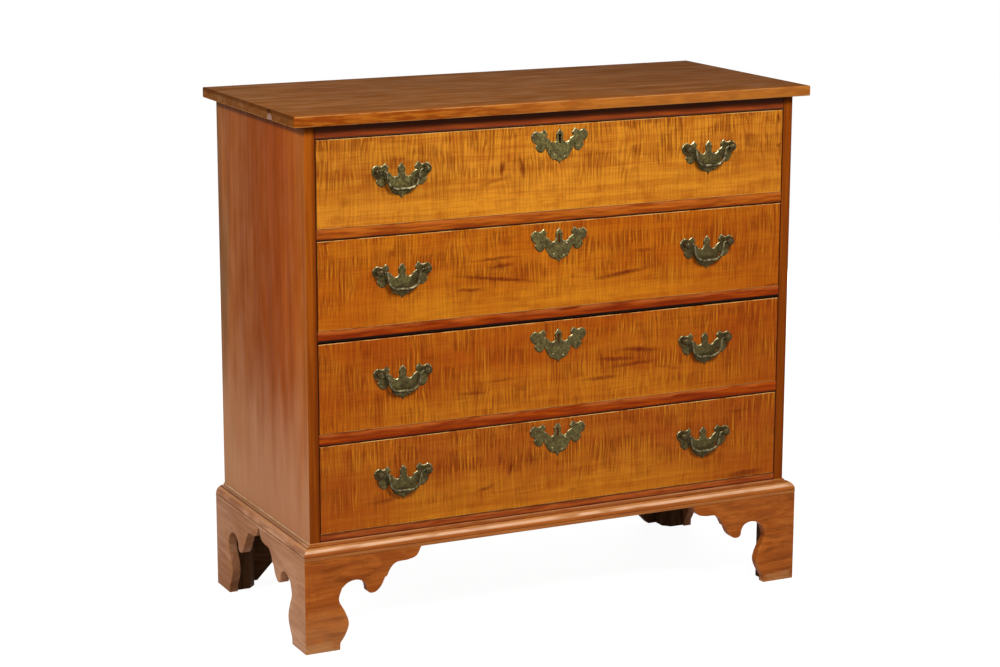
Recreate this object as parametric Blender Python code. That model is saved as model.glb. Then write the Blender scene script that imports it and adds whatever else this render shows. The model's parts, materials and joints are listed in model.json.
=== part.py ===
"""A four-drawer chest with a flat top, scrolled bracket feet and brass bail pulls.

Metres, +Z up. The origin is on the floor under the middle of the whole chest, and the drawers
pull out along -Y. Named values come first, then shared tools, then one function for each group.
"""

import math

import bmesh
import bpy
from mathutils import Matrix, Vector

# Clearances
TOUCH = 0.0003
RUNNER_CLEARANCE = 0.0006
DRAWER_SIDE_GAP = 0.001
PANEL_CLEARANCE = 0.0005
HOLE_CLEARANCE = 0.0006
CUT_PAST = 0.002
JOIN_DEPTH = 0.002

# Case
CASE_WIDTH = 0.950
CASE_DEPTH = 0.424
SIDE_THICKNESS = 0.019
HOUSING_DEPTH = 0.006
BACK_THICKNESS = 0.012
BACK_RABBET = 0.010
TOP_THICKNESS = 0.0183
TOP_SIDE_OVERHANG = 0.025
TOP_FRONT_OVERHANG = 0.0195
TOP_BACK_OVERHANG = 0.0005
BOTTOM_THICKNESS = 0.018

# Front rails with the runners behind them
RAIL_DEPTH = 0.060
RUNNER_WIDTH = 0.034
TONGUE_SETBACK = 0.008
TOP_RAIL_HEIGHT = 0.0236
BOTTOM_RAIL_HEIGHT = 0.0209
DIVIDER_HEIGHTS = (0.0185, 0.0195, 0.0196)

# Drawers, from the top one down
DRAWER_HEIGHTS = (0.1502, 0.1534, 0.1568, 0.1546)
DRAWER_TOP_GAPS = (0.0015, 0.0015, 0.0027, 0.0015)
DRAWER_REAR_GAP = 0.012
FRONT_THICKNESS = 0.021
LINING_THICKNESS = 0.011
LINING_DROP = 0.005
BACK_DROP = 0.003
PANEL_THICKNESS = 0.009
PANEL_RIM = 0.0054
PANEL_RIM_WIDTH = 0.006
PANEL_BEVEL_WIDTH = 0.040
PANEL_REAR_SETBACK = 0.001
GROOVE_RAISE = 0.0085
GROOVE_DEPTH = 0.005
TAIL_COUNT = 4
TAIL_LENGTH = 0.014
TAIL_SLOPE = 1 / 6
PIN_GAP = 0.009
HALF_PIN = 0.008

# Base moulding
MOULDING_HEIGHT = 0.0261
MOULDING_PROJECTION = 0.0175
FILLET_HEIGHT = 0.0034
FILLET_PROJECTION = 0.0022
BAND_HEIGHT = 0.0074
ROUND_STEPS = 5
MITRE_GAP = 0.00045

# Bracket feet
FOOT_HEIGHT = 0.1661
BRACKET_THICKNESS = 0.016
FRONT_BRACKET_LENGTH = 0.2185
SIDE_BRACKET_GAP = 0.005
FOOT_BLOCK = 0.040
BLOCK_CHAMFER = 0.014
STRIP_LENGTH = 0.176
STRIP_HEIGHT = 0.018
STRIP_DEPTH = 0.018
REAR_BRACKET_THICKNESS = 0.018
REAR_BRACKET_FOOT = 0.072
REAR_BRACKET_REACH = 0.236

# Brass
PULL_OFFSET = CASE_WIDTH * 6 / 19
PULL_RAISE = 0.0024
PLATE_WIDTH = 0.111
PLATE_HEIGHT = 0.0615
PLATE_THICKNESS = 0.0014
ESCUTCHEON_DROPS = (0.0334, 0.0372, 0.0406, 0.0335)
POST_SPACING = 0.0882
POST_RAISE = 0.0145
HEAD_RADIUS = 0.0075
HEAD_STANDOFF = 0.0095
NECK_RADIUS = 0.0034
SHANK_RADIUS = 0.0022
SHANK_END = 0.0057
NUT_RADIUS = 0.006
NUT_THICKNESS = 0.003
POST_SIDES = 8
BAIL_PIN_RADIUS = 0.0015
BAIL_PIN_DEPTH = 0.0055
BAIL_HOLE_CLEARANCE = 0.0005
BAIL_SHOULDER_RADIUS = 0.0022
BAIL_GRIP_RADIUS = 0.0032
BAIL_DROP = 0.032
BAIL_TOP_HALF_WIDTH = 0.031
BAIL_BOTTOM_HALF_WIDTH = 0.026
BAIL_TOP_ROUND = 0.005
BAIL_BOTTOM_ROUND = 0.019
BAIL_SIDES = 6
BAIL_CORNER_STEPS = 3

# Keyhole and lock
KEYHOLE_ROUND_RADIUS = 0.0028
KEYHOLE_ROUND_RAISE = 0.0146
KEYHOLE_FOOT_RAISE = 0.0012
KEYHOLE_FOOT_HALF_WIDTH = 0.0017
LOCK_WIDTH = 0.064
LOCK_HEIGHT = 0.044
LOCK_DEPTH = 0.011
KEYWAY_DEPTH = 0.0025
BOLT_WIDTH = 0.024
BOLT_THICKNESS = 0.005
BOLT_LENGTH = 0.0135
BOLT_BELOW_TOP = 0.0005
BOLT_TRAVEL = 0.008
BOLT_MORTISE_CLEARANCE = 0.001

# Outline of the scrolled bracket in millimetres: out from the corner, and up from the floor.
# Each stretch is a smooth curve, and the stretches meet at corners.
SCROLL_SIZE = (218.5, 166.1)
SCROLL_STRETCHES = (
    ((64.0, 0.0), (64.6, 12.5)),
    ((64.6, 12.5), (74.5, 27.0), (80.8, 46.5), (74.0, 68.0), (63.0, 90.0), (68.5, 110.5)),
    ((68.5, 110.5), (80.0, 119.5), (94.6, 122.6), (107.5, 118.8), (114.0, 110.5), (116.2, 99.0)),
    ((116.2, 99.0), (121.5, 95.2), (131.4, 95.9), (142.0, 105.0), (149.4, 119.6)),
    ((149.4, 119.6), (153.3, 121.7)),
    ((153.3, 121.7), (160.7, 135.3), (172.0, 144.0), (193.3, 145.6), (209.5, 150.8), (218.5, 166.1)),
)

# Right half of the batwing plate in millimetres, from its top point to its bottom point.
PLATE_SIZE = (111.0, 61.5)
PLATE_STRETCHES = (
    ((0.0, 26.5), (4.8, 21.5), (7.0, 16.5), (6.2, 9.0)),
    ((6.2, 9.0), (8.4, 4.6), (13.0, 3.0), (17.4, 5.2), (20.4, 9.4)),
    ((20.4, 9.4), (26.8, 13.2)),
    ((26.8, 13.2), (24.2, 19.0), (30.0, 27.0)),
    ((30.0, 27.0), (37.5, 22.0), (46.0, 24.5)),
    ((46.0, 24.5), (52.0, 21.5), (55.5, 16.0)),
    ((55.5, 16.0), (53.0, 7.0), (45.5, 2.0)),
    ((45.5, 2.0), (46.6, -5.5), (38.5, -13.2), (31.0, -11.6), (27.5, -5.5)),
    ((27.5, -5.5), (23.6, -13.0), (16.5, -24.0), (6.5, -28.5)),
    ((6.5, -28.5), (2.6, -30.5), (0.0, -35.0)),
)

# Places that follow from the sizes above
HALF_CASE = CASE_WIDTH / 2
HALF_INSIDE = HALF_CASE - SIDE_THICKNESS
HALF_DRAWER = HALF_INSIDE - DRAWER_SIDE_GAP
HEAD_REACH = HEAD_STANDOFF + HEAD_RADIUS
FRONT_REACH = max(HEAD_REACH, TOP_FRONT_OVERHANG, MOULDING_PROJECTION)
BACK_REACH = CASE_DEPTH + max(TOP_BACK_OVERHANG, 0)
FACE = FRONT_REACH - (FRONT_REACH + BACK_REACH) / 2
CASE_REAR = FACE + CASE_DEPTH
BACK_INNER = CASE_REAR - BACK_THICKNESS
FRONT_INNER = FACE + FRONT_THICKNESS
DRAWER_REAR = BACK_INNER - DRAWER_REAR_GAP
CASE_BASE = FOOT_HEIGHT + TOUCH
BOTTOM_TOP = CASE_BASE + BOTTOM_THICKNESS
BOTTOM_FRAME_LOW = BOTTOM_TOP + TOUCH
BOTTOM_FRAME_HIGH = BOTTOM_FRAME_LOW + BOTTOM_RAIL_HEIGHT


def stack_drawers():
    """Floor level of each drawer and the (low, high) of each divider, from the top one down."""
    floors = []
    dividers = []
    level = BOTTOM_FRAME_HIGH
    for number in reversed(range(len(DRAWER_HEIGHTS))):
        floor = level + RUNNER_CLEARANCE
        floors.insert(0, floor)
        ceiling = floor + DRAWER_HEIGHTS[number] + DRAWER_TOP_GAPS[number]
        if number:
            level = ceiling + DIVIDER_HEIGHTS[number - 1]
            dividers.insert(0, (ceiling, level))
    return floors, dividers, ceiling


DRAWER_FLOORS, DIVIDER_LEVELS, TOP_FRAME_LOW = stack_drawers()
CASE_TOP = TOP_FRAME_LOW + TOP_RAIL_HEIGHT


# Shared tools

def clear_scene():
    for item in list(bpy.data.objects):
        bpy.data.objects.remove(item, do_unlink=True)


def material(name, colour, roughness, metallic=0.0):
    made = bpy.data.materials.new(name)
    made.use_nodes = True
    shader = made.node_tree.nodes["Principled BSDF"]
    shader.inputs["Base Color"].default_value = (*colour, 1.0)
    shader.inputs["Roughness"].default_value = roughness
    shader.inputs["Metallic"].default_value = metallic
    made.diffuse_color = (*colour, 1.0)
    return made


def mesh_from(name, points, faces):
    """A closed mesh from its points and faces, with the faces turned to point out."""
    mesh = bpy.data.meshes.new(name)
    mesh.from_pydata([Vector(point) for point in points], [], faces)
    shape = bmesh.new()
    shape.from_mesh(mesh)
    bmesh.ops.recalc_face_normals(shape, faces=shape.faces)
    shape.to_mesh(mesh)
    shape.free()
    return mesh


def across(axis, along, first, second):
    """The point at `along` on the axis, with the outline's two values on the other two axes."""
    if axis == "X":
        return (along, first, second)
    if axis == "Y":
        return (first, along, second)
    return (first, second, along)


def prism_data(outline, axis, low, high):
    count = len(outline)
    points = [across(axis, low, *pair) for pair in outline]
    points += [across(axis, high, *pair) for pair in outline]
    faces = [tuple(range(count)), tuple(range(count, 2 * count))]
    for i in range(count):
        j = (i + 1) % count
        faces.append((i, j, count + j, count + i))
    return points, faces


def prisms(name, parts):
    """One mesh of several separate prisms, each given as (outline, axis, low, high)."""
    points = []
    faces = []
    for part in parts:
        more_points, more_faces = prism_data(*part)
        start = len(points)
        points += more_points
        faces += [tuple(start + i for i in face) for face in more_faces]
    return mesh_from(name, points, faces)


def box_part(x_range, y_range, z_range):
    """A box as a prism along Z, for prisms()."""
    (x0, x1), (y0, y1), (z0, z1) = sorted(x_range), sorted(y_range), sorted(z_range)
    return [(x0, y0), (x1, y0), (x1, y1), (x0, y1)], "Z", z0, z1


def box(name, x_range, y_range, z_range):
    return prisms(name, [box_part(x_range, y_range, z_range)])


def loft(name, rings):
    """A closed mesh through rings that have as many points each, with flat ends."""
    count = len(rings[0])
    points = [point for ring in rings for point in ring]
    faces = [tuple(range(count)), tuple(range(len(points) - count, len(points)))]
    for k in range(len(rings) - 1):
        for i in range(count):
            j = (i + 1) % count
            a = k * count
            b = a + count
            faces.append((a + i, a + j, b + j, b + i))
    return mesh_from(name, points, faces)


def turned(name, profile, centre, sides):
    """A turned piece along Y. The profile is (along, radius) pairs between its two end points."""
    x, y, z = centre
    rings = []
    for along, radius in profile[1:-1]:
        ring = []
        for i in range(sides):
            angle = 2 * math.pi * i / sides
            ring.append((x + radius * math.cos(angle), y + along, z + radius * math.sin(angle)))
        rings.append(ring)
    points = [point for ring in rings for point in ring]
    front = len(points)
    points += [(x, y + profile[0][0], z), (x, y + profile[-1][0], z)]
    last = front - sides
    faces = []
    for i in range(sides):
        j = (i + 1) % sides
        faces.append((front, i, j))
        faces.append((front + 1, last + j, last + i))
        for k in range(len(rings) - 1):
            a = k * sides
            b = a + sides
            faces.append((a + i, a + j, b + j, b + i))
    return mesh_from(name, points, faces)


def circle(centre, radius, sides):
    turns = [2 * math.pi * (i + 0.5) / sides for i in range(sides)]
    return [(centre[0] + radius * math.cos(a), centre[1] + radius * math.sin(a)) for a in turns]


def smooth(points, steps):
    """Points on a smooth curve through the given ones, `steps` spans between each two."""
    ends = [2 * points[0] - points[1], *points, 2 * points[-1] - points[-2]]
    made = []
    for i in range(1, len(ends) - 2):
        before, a, b, after = ends[i - 1], ends[i], ends[i + 1], ends[i + 2]
        for k in range(steps):
            t = k / steps
            bend = a * 2 + (b - before) * t
            bend += (before * 2 - a * 5 + b * 4 - after) * t * t
            bend += (a * 3 - before - b * 3 + after) * t ** 3
            made.append(bend / 2)
    return made + [points[-1]]


def drawn(stretches, steps, wide, high):
    """The outline through all stretches, scaled to its real size, without the last point."""
    made = []
    for stretch in stretches:
        points = [Vector((u * wide, v * high)) for u, v in stretch]
        spans = steps if len(points) > 2 else 1
        made += smooth(points, spans)[:-1]
    return made


def finish(name, mesh, look, holder, origin=None):
    """Adds the piece to the scene, with its own origin, held by an empty."""
    origin = Vector(origin) if origin else Vector(holder.location)
    mesh.transform(Matrix.Translation(-origin))
    item = bpy.data.objects.new(name, mesh)
    bpy.context.scene.collection.objects.link(item)
    item.parent = holder
    item.location = origin - Vector(holder.location)
    if look:
        mesh.materials.append(look)
    return item


def shade_round(item, degrees=40):
    item.data.shade_smooth()
    item.data.set_sharp_from_angle(angle=math.radians(degrees))


def helper(name, mesh, holder):
    """A cutter or a piece to join on: it isn't rendered itself."""
    item = finish(name, mesh, None, holder)
    item.hide_render = True
    item.display_type = "WIRE"
    return item


def combine(item, other, operation):
    step = item.modifiers.new(other.name, "BOOLEAN")
    step.operation = operation
    step.object = other
    step.solver = "EXACT"


def cut(item, name, mesh):
    combine(item, helper(name, mesh, item.parent), "DIFFERENCE")


def join(item, name, mesh):
    combine(item, helper(name, mesh, item.parent), "UNION")


def empty(name, place):
    item = bpy.data.objects.new(name, None)
    item.location = place
    item.empty_display_size = 0.03
    bpy.context.scene.collection.objects.link(item)
    return item


# Case

def build_top(case, looks):
    reach = HALF_CASE + TOP_SIDE_OVERHANG
    rear = CASE_REAR + TOP_BACK_OVERHANG
    low = CASE_TOP + TOUCH
    board = box("top_board", (-reach, reach), (FACE - TOP_FRONT_OVERHANG, rear), (low, low + TOP_THICKNESS))
    finish("top_board", board, looks["top"], case)


def frame_levels():
    """(low, high) of each rail frame, from the top one down."""
    return [(TOP_FRAME_LOW, CASE_TOP), *DIVIDER_LEVELS, (BOTTOM_FRAME_LOW, BOTTOM_FRAME_HIGH)]


def build_sides(case, looks):
    """Upright boards with housings for the rails, and rabbets for the back and the bottom."""
    housing_y = (FACE + TONGUE_SETBACK, FACE + RAIL_DEPTH + TOUCH)
    for name, side in (("left_side", -1), ("right_side", 1)):
        inner = side * HALF_INSIDE
        deep = side * (HALF_INSIDE + HOUSING_DEPTH)
        past = side * (HALF_INSIDE - CUT_PAST)
        board = box(name, (inner, side * HALF_CASE), (FACE, CASE_REAR), (CASE_BASE, CASE_TOP))
        item = finish(name, board, looks["case"], case)
        housings = []
        for low, high in frame_levels():
            reach = CUT_PAST if high == CASE_TOP else TOUCH
            housings.append(box_part((past, deep), housing_y, (low - TOUCH, high + reach)))
        cut(item, f"{name}_housings", prisms("housings", housings))
        rabbet_x = (past, side * (HALF_INSIDE + BACK_RABBET))
        rabbet_y = (BACK_INNER - TOUCH, CASE_REAR + CUT_PAST)
        rabbet_z = (CASE_BASE - CUT_PAST, CASE_TOP + CUT_PAST)
        cut(item, f"{name}_back_rabbet", box("rabbet", rabbet_x, rabbet_y, rabbet_z))
        bottom_y = (FACE - CUT_PAST, CASE_REAR + CUT_PAST)
        bottom_z = (CASE_BASE - CUT_PAST, BOTTOM_TOP + TOUCH)
        cut(item, f"{name}_bottom_rabbet", box("rabbet", (past, deep), bottom_y, bottom_z))


def build_bottom_and_back(case, looks):
    reach = HALF_INSIDE + HOUSING_DEPTH - TOUCH
    depth = (FACE + TOUCH, BACK_INNER - TOUCH)
    board = box("bottom_board", (-reach, reach), depth, (CASE_BASE, BOTTOM_TOP))
    finish("bottom_board", board, looks["pine"], case)
    reach = HALF_INSIDE + BACK_RABBET - TOUCH
    middle = (CASE_BASE + CASE_TOP) / 2
    levels = {"back_board_lower": (CASE_BASE, middle - TOUCH), "back_board_upper": (middle, CASE_TOP)}
    for name, (low, high) in levels.items():
        board = box(name, (-reach, reach), (BACK_INNER, CASE_REAR), (low, high))
        finish(name, board, looks["pine"], case)


def frame_outline():
    """Plan of a front rail with a runner behind each end, as one U with tongues at the front."""
    end = HALF_INSIDE - TOUCH
    tongue = HALF_INSIDE + HOUSING_DEPTH - TOUCH
    front = FACE + TONGUE_SETBACK + TOUCH
    rail = FACE + RAIL_DEPTH
    rear = BACK_INNER - TOUCH
    inside = HALF_INSIDE - RUNNER_WIDTH
    right = [(end, FACE), (end, front), (tongue, front), (tongue, rail), (end, rail), (end, rear)]
    right += [(inside, rear), (inside, rail)]
    return right + [(-x, y) for x, y in reversed(right)]


def build_frames(case, looks):
    names = ["top_frame"] + [f"drawer_frame_{i + 1}" for i in range(len(DIVIDER_LEVELS))]
    for name, (low, high) in zip(names + ["bottom_frame"], frame_levels()):
        mesh = prisms(name, [(frame_outline(), "Z", low, high)])
        item = finish(name, mesh, looks["rail"], case)
        if name == "top_frame":
            half = BOLT_WIDTH / 2 + BOLT_MORTISE_CLEARANCE
            y_mid = bolt_middle()
            y_half = BOLT_THICKNESS / 2 + BOLT_MORTISE_CLEARANCE
            depth = low + BOLT_TRAVEL + BOLT_MORTISE_CLEARANCE
            mortise = box("mortise", (-half, half), (y_mid - y_half, y_mid + y_half), (low - CUT_PAST, depth))
            cut(item, "top_frame_bolt_mortise", mortise)


# Base

def moulding_profile():
    """(out from the case, height) corners of the moulding: a fillet, a quarter round and a band."""
    top = CASE_BASE + MOULDING_HEIGHT
    round_top = top - FILLET_HEIGHT
    round_low = CASE_BASE + BAND_HEIGHT
    wide = MOULDING_PROJECTION - FILLET_PROJECTION
    tall = round_top - round_low
    profile = [(TOUCH, CASE_BASE), (TOUCH, top), (FILLET_PROJECTION, top)]
    for i in range(ROUND_STEPS + 1):
        angle = math.pi / 2 * i / ROUND_STEPS
        profile.append((FILLET_PROJECTION + wide * math.sin(angle), round_low + tall * math.cos(angle)))
    return profile + [(MOULDING_PROJECTION, CASE_BASE)]


def build_mouldings(case, looks):
    """The front moulding and the two side ones, mitred where they meet."""
    profile = moulding_profile()
    ends = []
    for side in (-1, 1):
        ends.append([(side * (HALF_CASE + out), FACE - out, z) for out, z in profile])
    finish("front_moulding", loft("front_moulding", ends), looks["base"], case)
    for name, side in (("left_moulding", -1), ("right_moulding", 1)):
        front = [(side * (HALF_CASE + out), FACE - out + MITRE_GAP, z) for out, z in profile]
        rear = [(side * (HALF_CASE + out), CASE_REAR, z) for out, z in profile]
        finish(name, loft(name, [front, rear]), looks["base"], case)


def bracket_outline(length):
    """(out from the corner, height) outline of a scrolled bracket of this length."""
    wide = length / SCROLL_SIZE[0]
    high = FOOT_HEIGHT / SCROLL_SIZE[1]
    scroll = drawn(SCROLL_STRETCHES, 2, wide, high)
    return [(0.0, 0.0)] + [tuple(point) for point in scroll] + [(length, FOOT_HEIGHT), (0.0, FOOT_HEIGHT)]


def rear_bracket_outline():
    """(out from the corner, height) outline of the plain rear bracket, cut off on a slant."""
    start = BRACKET_THICKNESS - JOIN_DEPTH
    sole = [(start, 0.0), (REAR_BRACKET_FOOT, 0.0)]
    return sole + [(REAR_BRACKET_REACH, FOOT_HEIGHT), (start, FOOT_HEIGHT)]


def side_bracket_length():
    return (CASE_DEPTH + MOULDING_PROJECTION - SIDE_BRACKET_GAP) / 2


def build_feet(case, looks):
    """Each foot is two brackets glued at the corner, with a block and strips behind them."""
    corner_x = HALF_CASE + MOULDING_PROJECTION
    for side, side_name in ((-1, "left"), (1, "right")):
        for end_name, corner_y, inward in (("front", FACE - MOULDING_PROJECTION, 1), ("rear", CASE_REAR, -1)):
            name = f"{end_name}_{side_name}_foot"

            def x_at(out):
                return side * (corner_x - out)

            def y_at(out):
                return corner_y + inward * out

            side_outline = [(y_at(out), z) for out, z in bracket_outline(side_bracket_length())]
            bracket = prisms(name, [(side_outline, "X", *sorted((x_at(0), x_at(BRACKET_THICKNESS))))])
            item = finish(name, bracket, looks["base"], case)
            if end_name == "front":
                cross = [(x_at(out), z) for out, z in bracket_outline(FRONT_BRACKET_LENGTH)]
                thickness = BRACKET_THICKNESS
            else:
                cross = [(x_at(out), z) for out, z in rear_bracket_outline()]
                thickness = REAR_BRACKET_THICKNESS
            cross_y = sorted((y_at(0), y_at(thickness)))
            join(item, f"{name}_cross_bracket", prisms("bracket", [(cross, "Y", *cross_y)]))
            x_in = BRACKET_THICKNESS - JOIN_DEPTH
            y_in = thickness - JOIN_DEPTH
            x_out = BRACKET_THICKNESS + FOOT_BLOCK
            y_out = thickness + FOOT_BLOCK
            plan = [(x_in, y_in), (x_out, y_in), (x_out, y_out - BLOCK_CHAMFER)]
            plan += [(x_out - BLOCK_CHAMFER, y_out), (x_in, y_out)]
            block = [(x_at(u), y_at(v)) for u, v in plan]
            join(item, f"{name}_block", prisms("block", [(block, "Z", 0.0, FOOT_HEIGHT)]))
            strip_z = (FOOT_HEIGHT - STRIP_HEIGHT, FOOT_HEIGHT)
            strip_x = (x_at(x_out - JOIN_DEPTH), x_at(STRIP_LENGTH))
            strip_y = (y_at(y_in), y_at(thickness + STRIP_DEPTH))
            join(item, f"{name}_cross_strip", box("strip", strip_x, strip_y, strip_z))
            strip_x = (x_at(x_in), x_at(BRACKET_THICKNESS + STRIP_DEPTH))
            strip_y = (y_at(y_out - JOIN_DEPTH), y_at(STRIP_LENGTH))
            join(item, f"{name}_side_strip", box("strip", strip_x, strip_y, strip_z))


# Drawers

def tails(low, high):
    """(low, high) at the tip of each dovetail between two levels."""
    room = high - low - 2 * HALF_PIN - (TAIL_COUNT - 1) * PIN_GAP
    wide = room / TAIL_COUNT
    starts = [low + HALF_PIN + i * (wide + PIN_GAP) for i in range(TAIL_COUNT)]
    return [(start, start + wide) for start in starts]


def tail_corners(tail, length, start, end, grow):
    """Corners (along, height) of a tail from `start` to `end` past its shoulder."""
    def edge(along):
        narrow = (length - along) * TAIL_SLOPE - grow
        return (along, tail[0] + narrow), (along, tail[1] - narrow)
    (low_start, high_start), (low_end, high_end) = edge(start), edge(end)
    return [low_start, low_end, high_end, high_start]


def drawer_sizes(number):
    """Levels that a drawer's pieces share."""
    floor = DRAWER_FLOORS[number]
    top = floor + DRAWER_HEIGHTS[number]
    sizes = {"floor": floor, "top": top, "lining_top": top - LINING_DROP}
    sizes["groove"] = (floor + GROOVE_RAISE, floor + GROOVE_RAISE + PANEL_RIM + 2 * PANEL_CLEARANCE)
    sizes["panel_top"] = sizes["groove"][1] - PANEL_CLEARANCE
    sizes["back"] = (sizes["panel_top"] + TOUCH, sizes["lining_top"] - BACK_DROP)
    sizes["shoulder"] = FRONT_INNER + TOUCH
    sizes["back_shoulder"] = DRAWER_REAR - LINING_THICKNESS - TOUCH
    sizes["front_tails"] = tails(floor, sizes["lining_top"])
    sizes["back_tails"] = tails(*sizes["back"])
    return sizes


def front_sockets(sizes):
    """Cutters for the tails' sockets in both ends of a drawer front."""
    inner = HALF_DRAWER - LINING_THICKNESS - TOUCH
    parts = []
    for tail in sizes["front_tails"]:
        corners = tail_corners(tail, TAIL_LENGTH, -CUT_PAST, TAIL_LENGTH + TOUCH, TOUCH)
        outline = [(sizes["shoulder"] - along, z) for along, z in corners]
        parts.append((outline, "X", inner, HALF_DRAWER + CUT_PAST))
        parts.append((outline, "X", -HALF_DRAWER - CUT_PAST, -inner))
    return prisms("sockets", parts)


def back_sockets(sizes):
    """Cutters for the tails' sockets in both ends of a drawer back."""
    inner = HALF_DRAWER - LINING_THICKNESS - TOUCH
    length = LINING_THICKNESS + TOUCH
    parts = []
    for tail in sizes["back_tails"]:
        corners = tail_corners(tail, length, -CUT_PAST, length + CUT_PAST, TOUCH)
        outline = [(sizes["back_shoulder"] + along, z) for along, z in corners]
        parts.append((outline, "X", inner, HALF_DRAWER + CUT_PAST))
        parts.append((outline, "X", -HALF_DRAWER - CUT_PAST, -inner))
    return prisms("sockets", parts)


def side_outline(sizes):
    """Outline (y, z) of a drawer side, with tails at both ends."""
    shoulder = sizes["shoulder"]
    back_shoulder = sizes["back_shoulder"]
    outline = [(DRAWER_REAR, sizes["floor"]), (shoulder, sizes["floor"])]
    for tail in sizes["front_tails"]:
        for along, z in tail_corners(tail, TAIL_LENGTH, 0, TAIL_LENGTH, 0):
            outline.append((shoulder - along, z))
    outline += [(shoulder, sizes["lining_top"]), (back_shoulder, sizes["lining_top"])]
    length = LINING_THICKNESS + TOUCH
    for tail in reversed(sizes["back_tails"]):
        for along, z in reversed(tail_corners(tail, length, 0, length, 0)):
            outline.append((back_shoulder + along, z))
    low = sizes["back"][0] - TOUCH
    return outline + [(back_shoulder, low), (DRAWER_REAR, low)]


def keyhole(centre_z):
    """Outline (x, z) of a keyhole: a round top over a slot."""
    middle = centre_z + KEYHOLE_ROUND_RAISE
    foot = centre_z + KEYHOLE_FOOT_RAISE
    outline = [(-KEYHOLE_FOOT_HALF_WIDTH, foot), (KEYHOLE_FOOT_HALF_WIDTH, foot)]
    for degrees in (-50, 0, 45, 90, 135, 180, 230):
        angle = math.radians(degrees)
        x = KEYHOLE_ROUND_RADIUS * math.cos(angle)
        outline.append((x, middle + KEYHOLE_ROUND_RADIUS * math.sin(angle)))
    return outline


def pull_centre(number, side):
    """(x, z) of a pull's plate."""
    middle = DRAWER_FLOORS[number] + DRAWER_HEIGHTS[number] / 2
    return side * PULL_OFFSET, middle + PULL_RAISE


def post_places(number, side):
    x, z = pull_centre(number, side)
    return [(x + end * POST_SPACING / 2, z + POST_RAISE) for end in (-1, 1)]


def escutcheon_level(number):
    return DRAWER_FLOORS[number] + DRAWER_HEIGHTS[number] - ESCUTCHEON_DROPS[number]


def build_front(number, sizes, holder, looks):
    name = f"drawer_{number + 1}_front"
    levels = (sizes["floor"], sizes["top"])
    board = box(name, (-HALF_DRAWER, HALF_DRAWER), (FACE, FRONT_INNER), levels)
    item = finish(name, board, looks["figured"], holder)
    cut(item, f"{name}_sockets", front_sockets(sizes))
    reach = HALF_DRAWER - LINING_THICKNESS + GROOVE_DEPTH
    groove_y = (FRONT_INNER - GROOVE_DEPTH, FRONT_INNER + CUT_PAST)
    cut(item, f"{name}_groove", box("groove", (-reach, reach), groove_y, sizes["groove"]))
    bores = []
    for side in (-1, 1):
        for place in post_places(number, side):
            ring = circle(place, SHANK_RADIUS + HOLE_CLEARANCE, 8)
            bores.append((ring, "Y", FACE - CUT_PAST, FRONT_INNER + CUT_PAST))
    cut(item, f"{name}_bores", prisms("bores", bores))
    if number == 0:
        half = LOCK_WIDTH / 2 + TOUCH
        pocket_y = (FRONT_INNER - LOCK_DEPTH - TOUCH, FRONT_INNER + CUT_PAST)
        pocket_z = (sizes["top"] - LOCK_HEIGHT - TOUCH, sizes["top"] + CUT_PAST)
        cut(item, f"{name}_lock_pocket", box("pocket", (-half, half), pocket_y, pocket_z))
        through = (keyhole(escutcheon_level(0)), "Y", FACE - CUT_PAST, FRONT_INNER - LOCK_DEPTH + CUT_PAST)
        cut(item, f"{name}_keyhole", prisms("keyhole", [through]))


def build_lining(number, sizes, holder, looks):
    """The sides, the back and the bottom panel of one drawer."""
    inner = HALF_DRAWER - LINING_THICKNESS
    for side_name, side in (("left", -1), ("right", 1)):
        name = f"drawer_{number + 1}_{side_name}_side"
        span = sorted((side * inner, side * HALF_DRAWER))
        item = finish(name, prisms(name, [(side_outline(sizes), "X", *span)]), looks["poplar"], holder)
        groove_x = (side * (inner - CUT_PAST), side * (inner + GROOVE_DEPTH))
        groove_y = (FACE - CUT_PAST, DRAWER_REAR + CUT_PAST)
        cut(item, f"{name}_groove", box("groove", groove_x, groove_y, sizes["groove"]))
    name = f"drawer_{number + 1}_back"
    depth = (DRAWER_REAR - LINING_THICKNESS, DRAWER_REAR)
    item = finish(name, box(name, (-HALF_DRAWER, HALF_DRAWER), depth, sizes["back"]), looks["poplar"], holder)
    cut(item, f"{name}_sockets", back_sockets(sizes))
    name = f"drawer_{number + 1}_bottom"
    reach = inner + GROOVE_DEPTH - PANEL_CLEARANCE
    front = FRONT_INNER - GROOVE_DEPTH + PANEL_CLEARANCE
    rear = DRAWER_REAR - PANEL_REAR_SETBACK
    rim = sizes["panel_top"] - PANEL_RIM
    field = sizes["panel_top"] - PANEL_THICKNESS
    rings = []
    for inset, z in ((0, sizes["panel_top"]), (0, rim), (PANEL_RIM_WIDTH, rim), (PANEL_BEVEL_WIDTH, field)):
        x, y0, y1 = reach - inset, front + inset, rear - inset
        rings.append([(-x, y0, z), (x, y0, z), (x, y1, z), (-x, y1, z)])
    finish(name, loft(name, rings), looks["poplar"], holder)


def plate_outline(x, z):
    """Outline (x, z) of the batwing plate round its own centre."""
    wide = PLATE_WIDTH / PLATE_SIZE[0]
    high = PLATE_HEIGHT / PLATE_SIZE[1]
    right = [tuple(point) for point in drawn(PLATE_STRETCHES, 1, wide, high)]
    tip = PLATE_STRETCHES[-1][-1]
    left = [(-u, v) for u, v in reversed(right[1:])]
    outline = right + [(tip[0] * wide, tip[1] * high)] + left
    return [(x + u, z + v) for u, v in outline]


def plate(name, x, z):
    back = FACE - TOUCH
    return prisms(name, [(plate_outline(x, z), "Y", back - PLATE_THICKNESS, back)])


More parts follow.
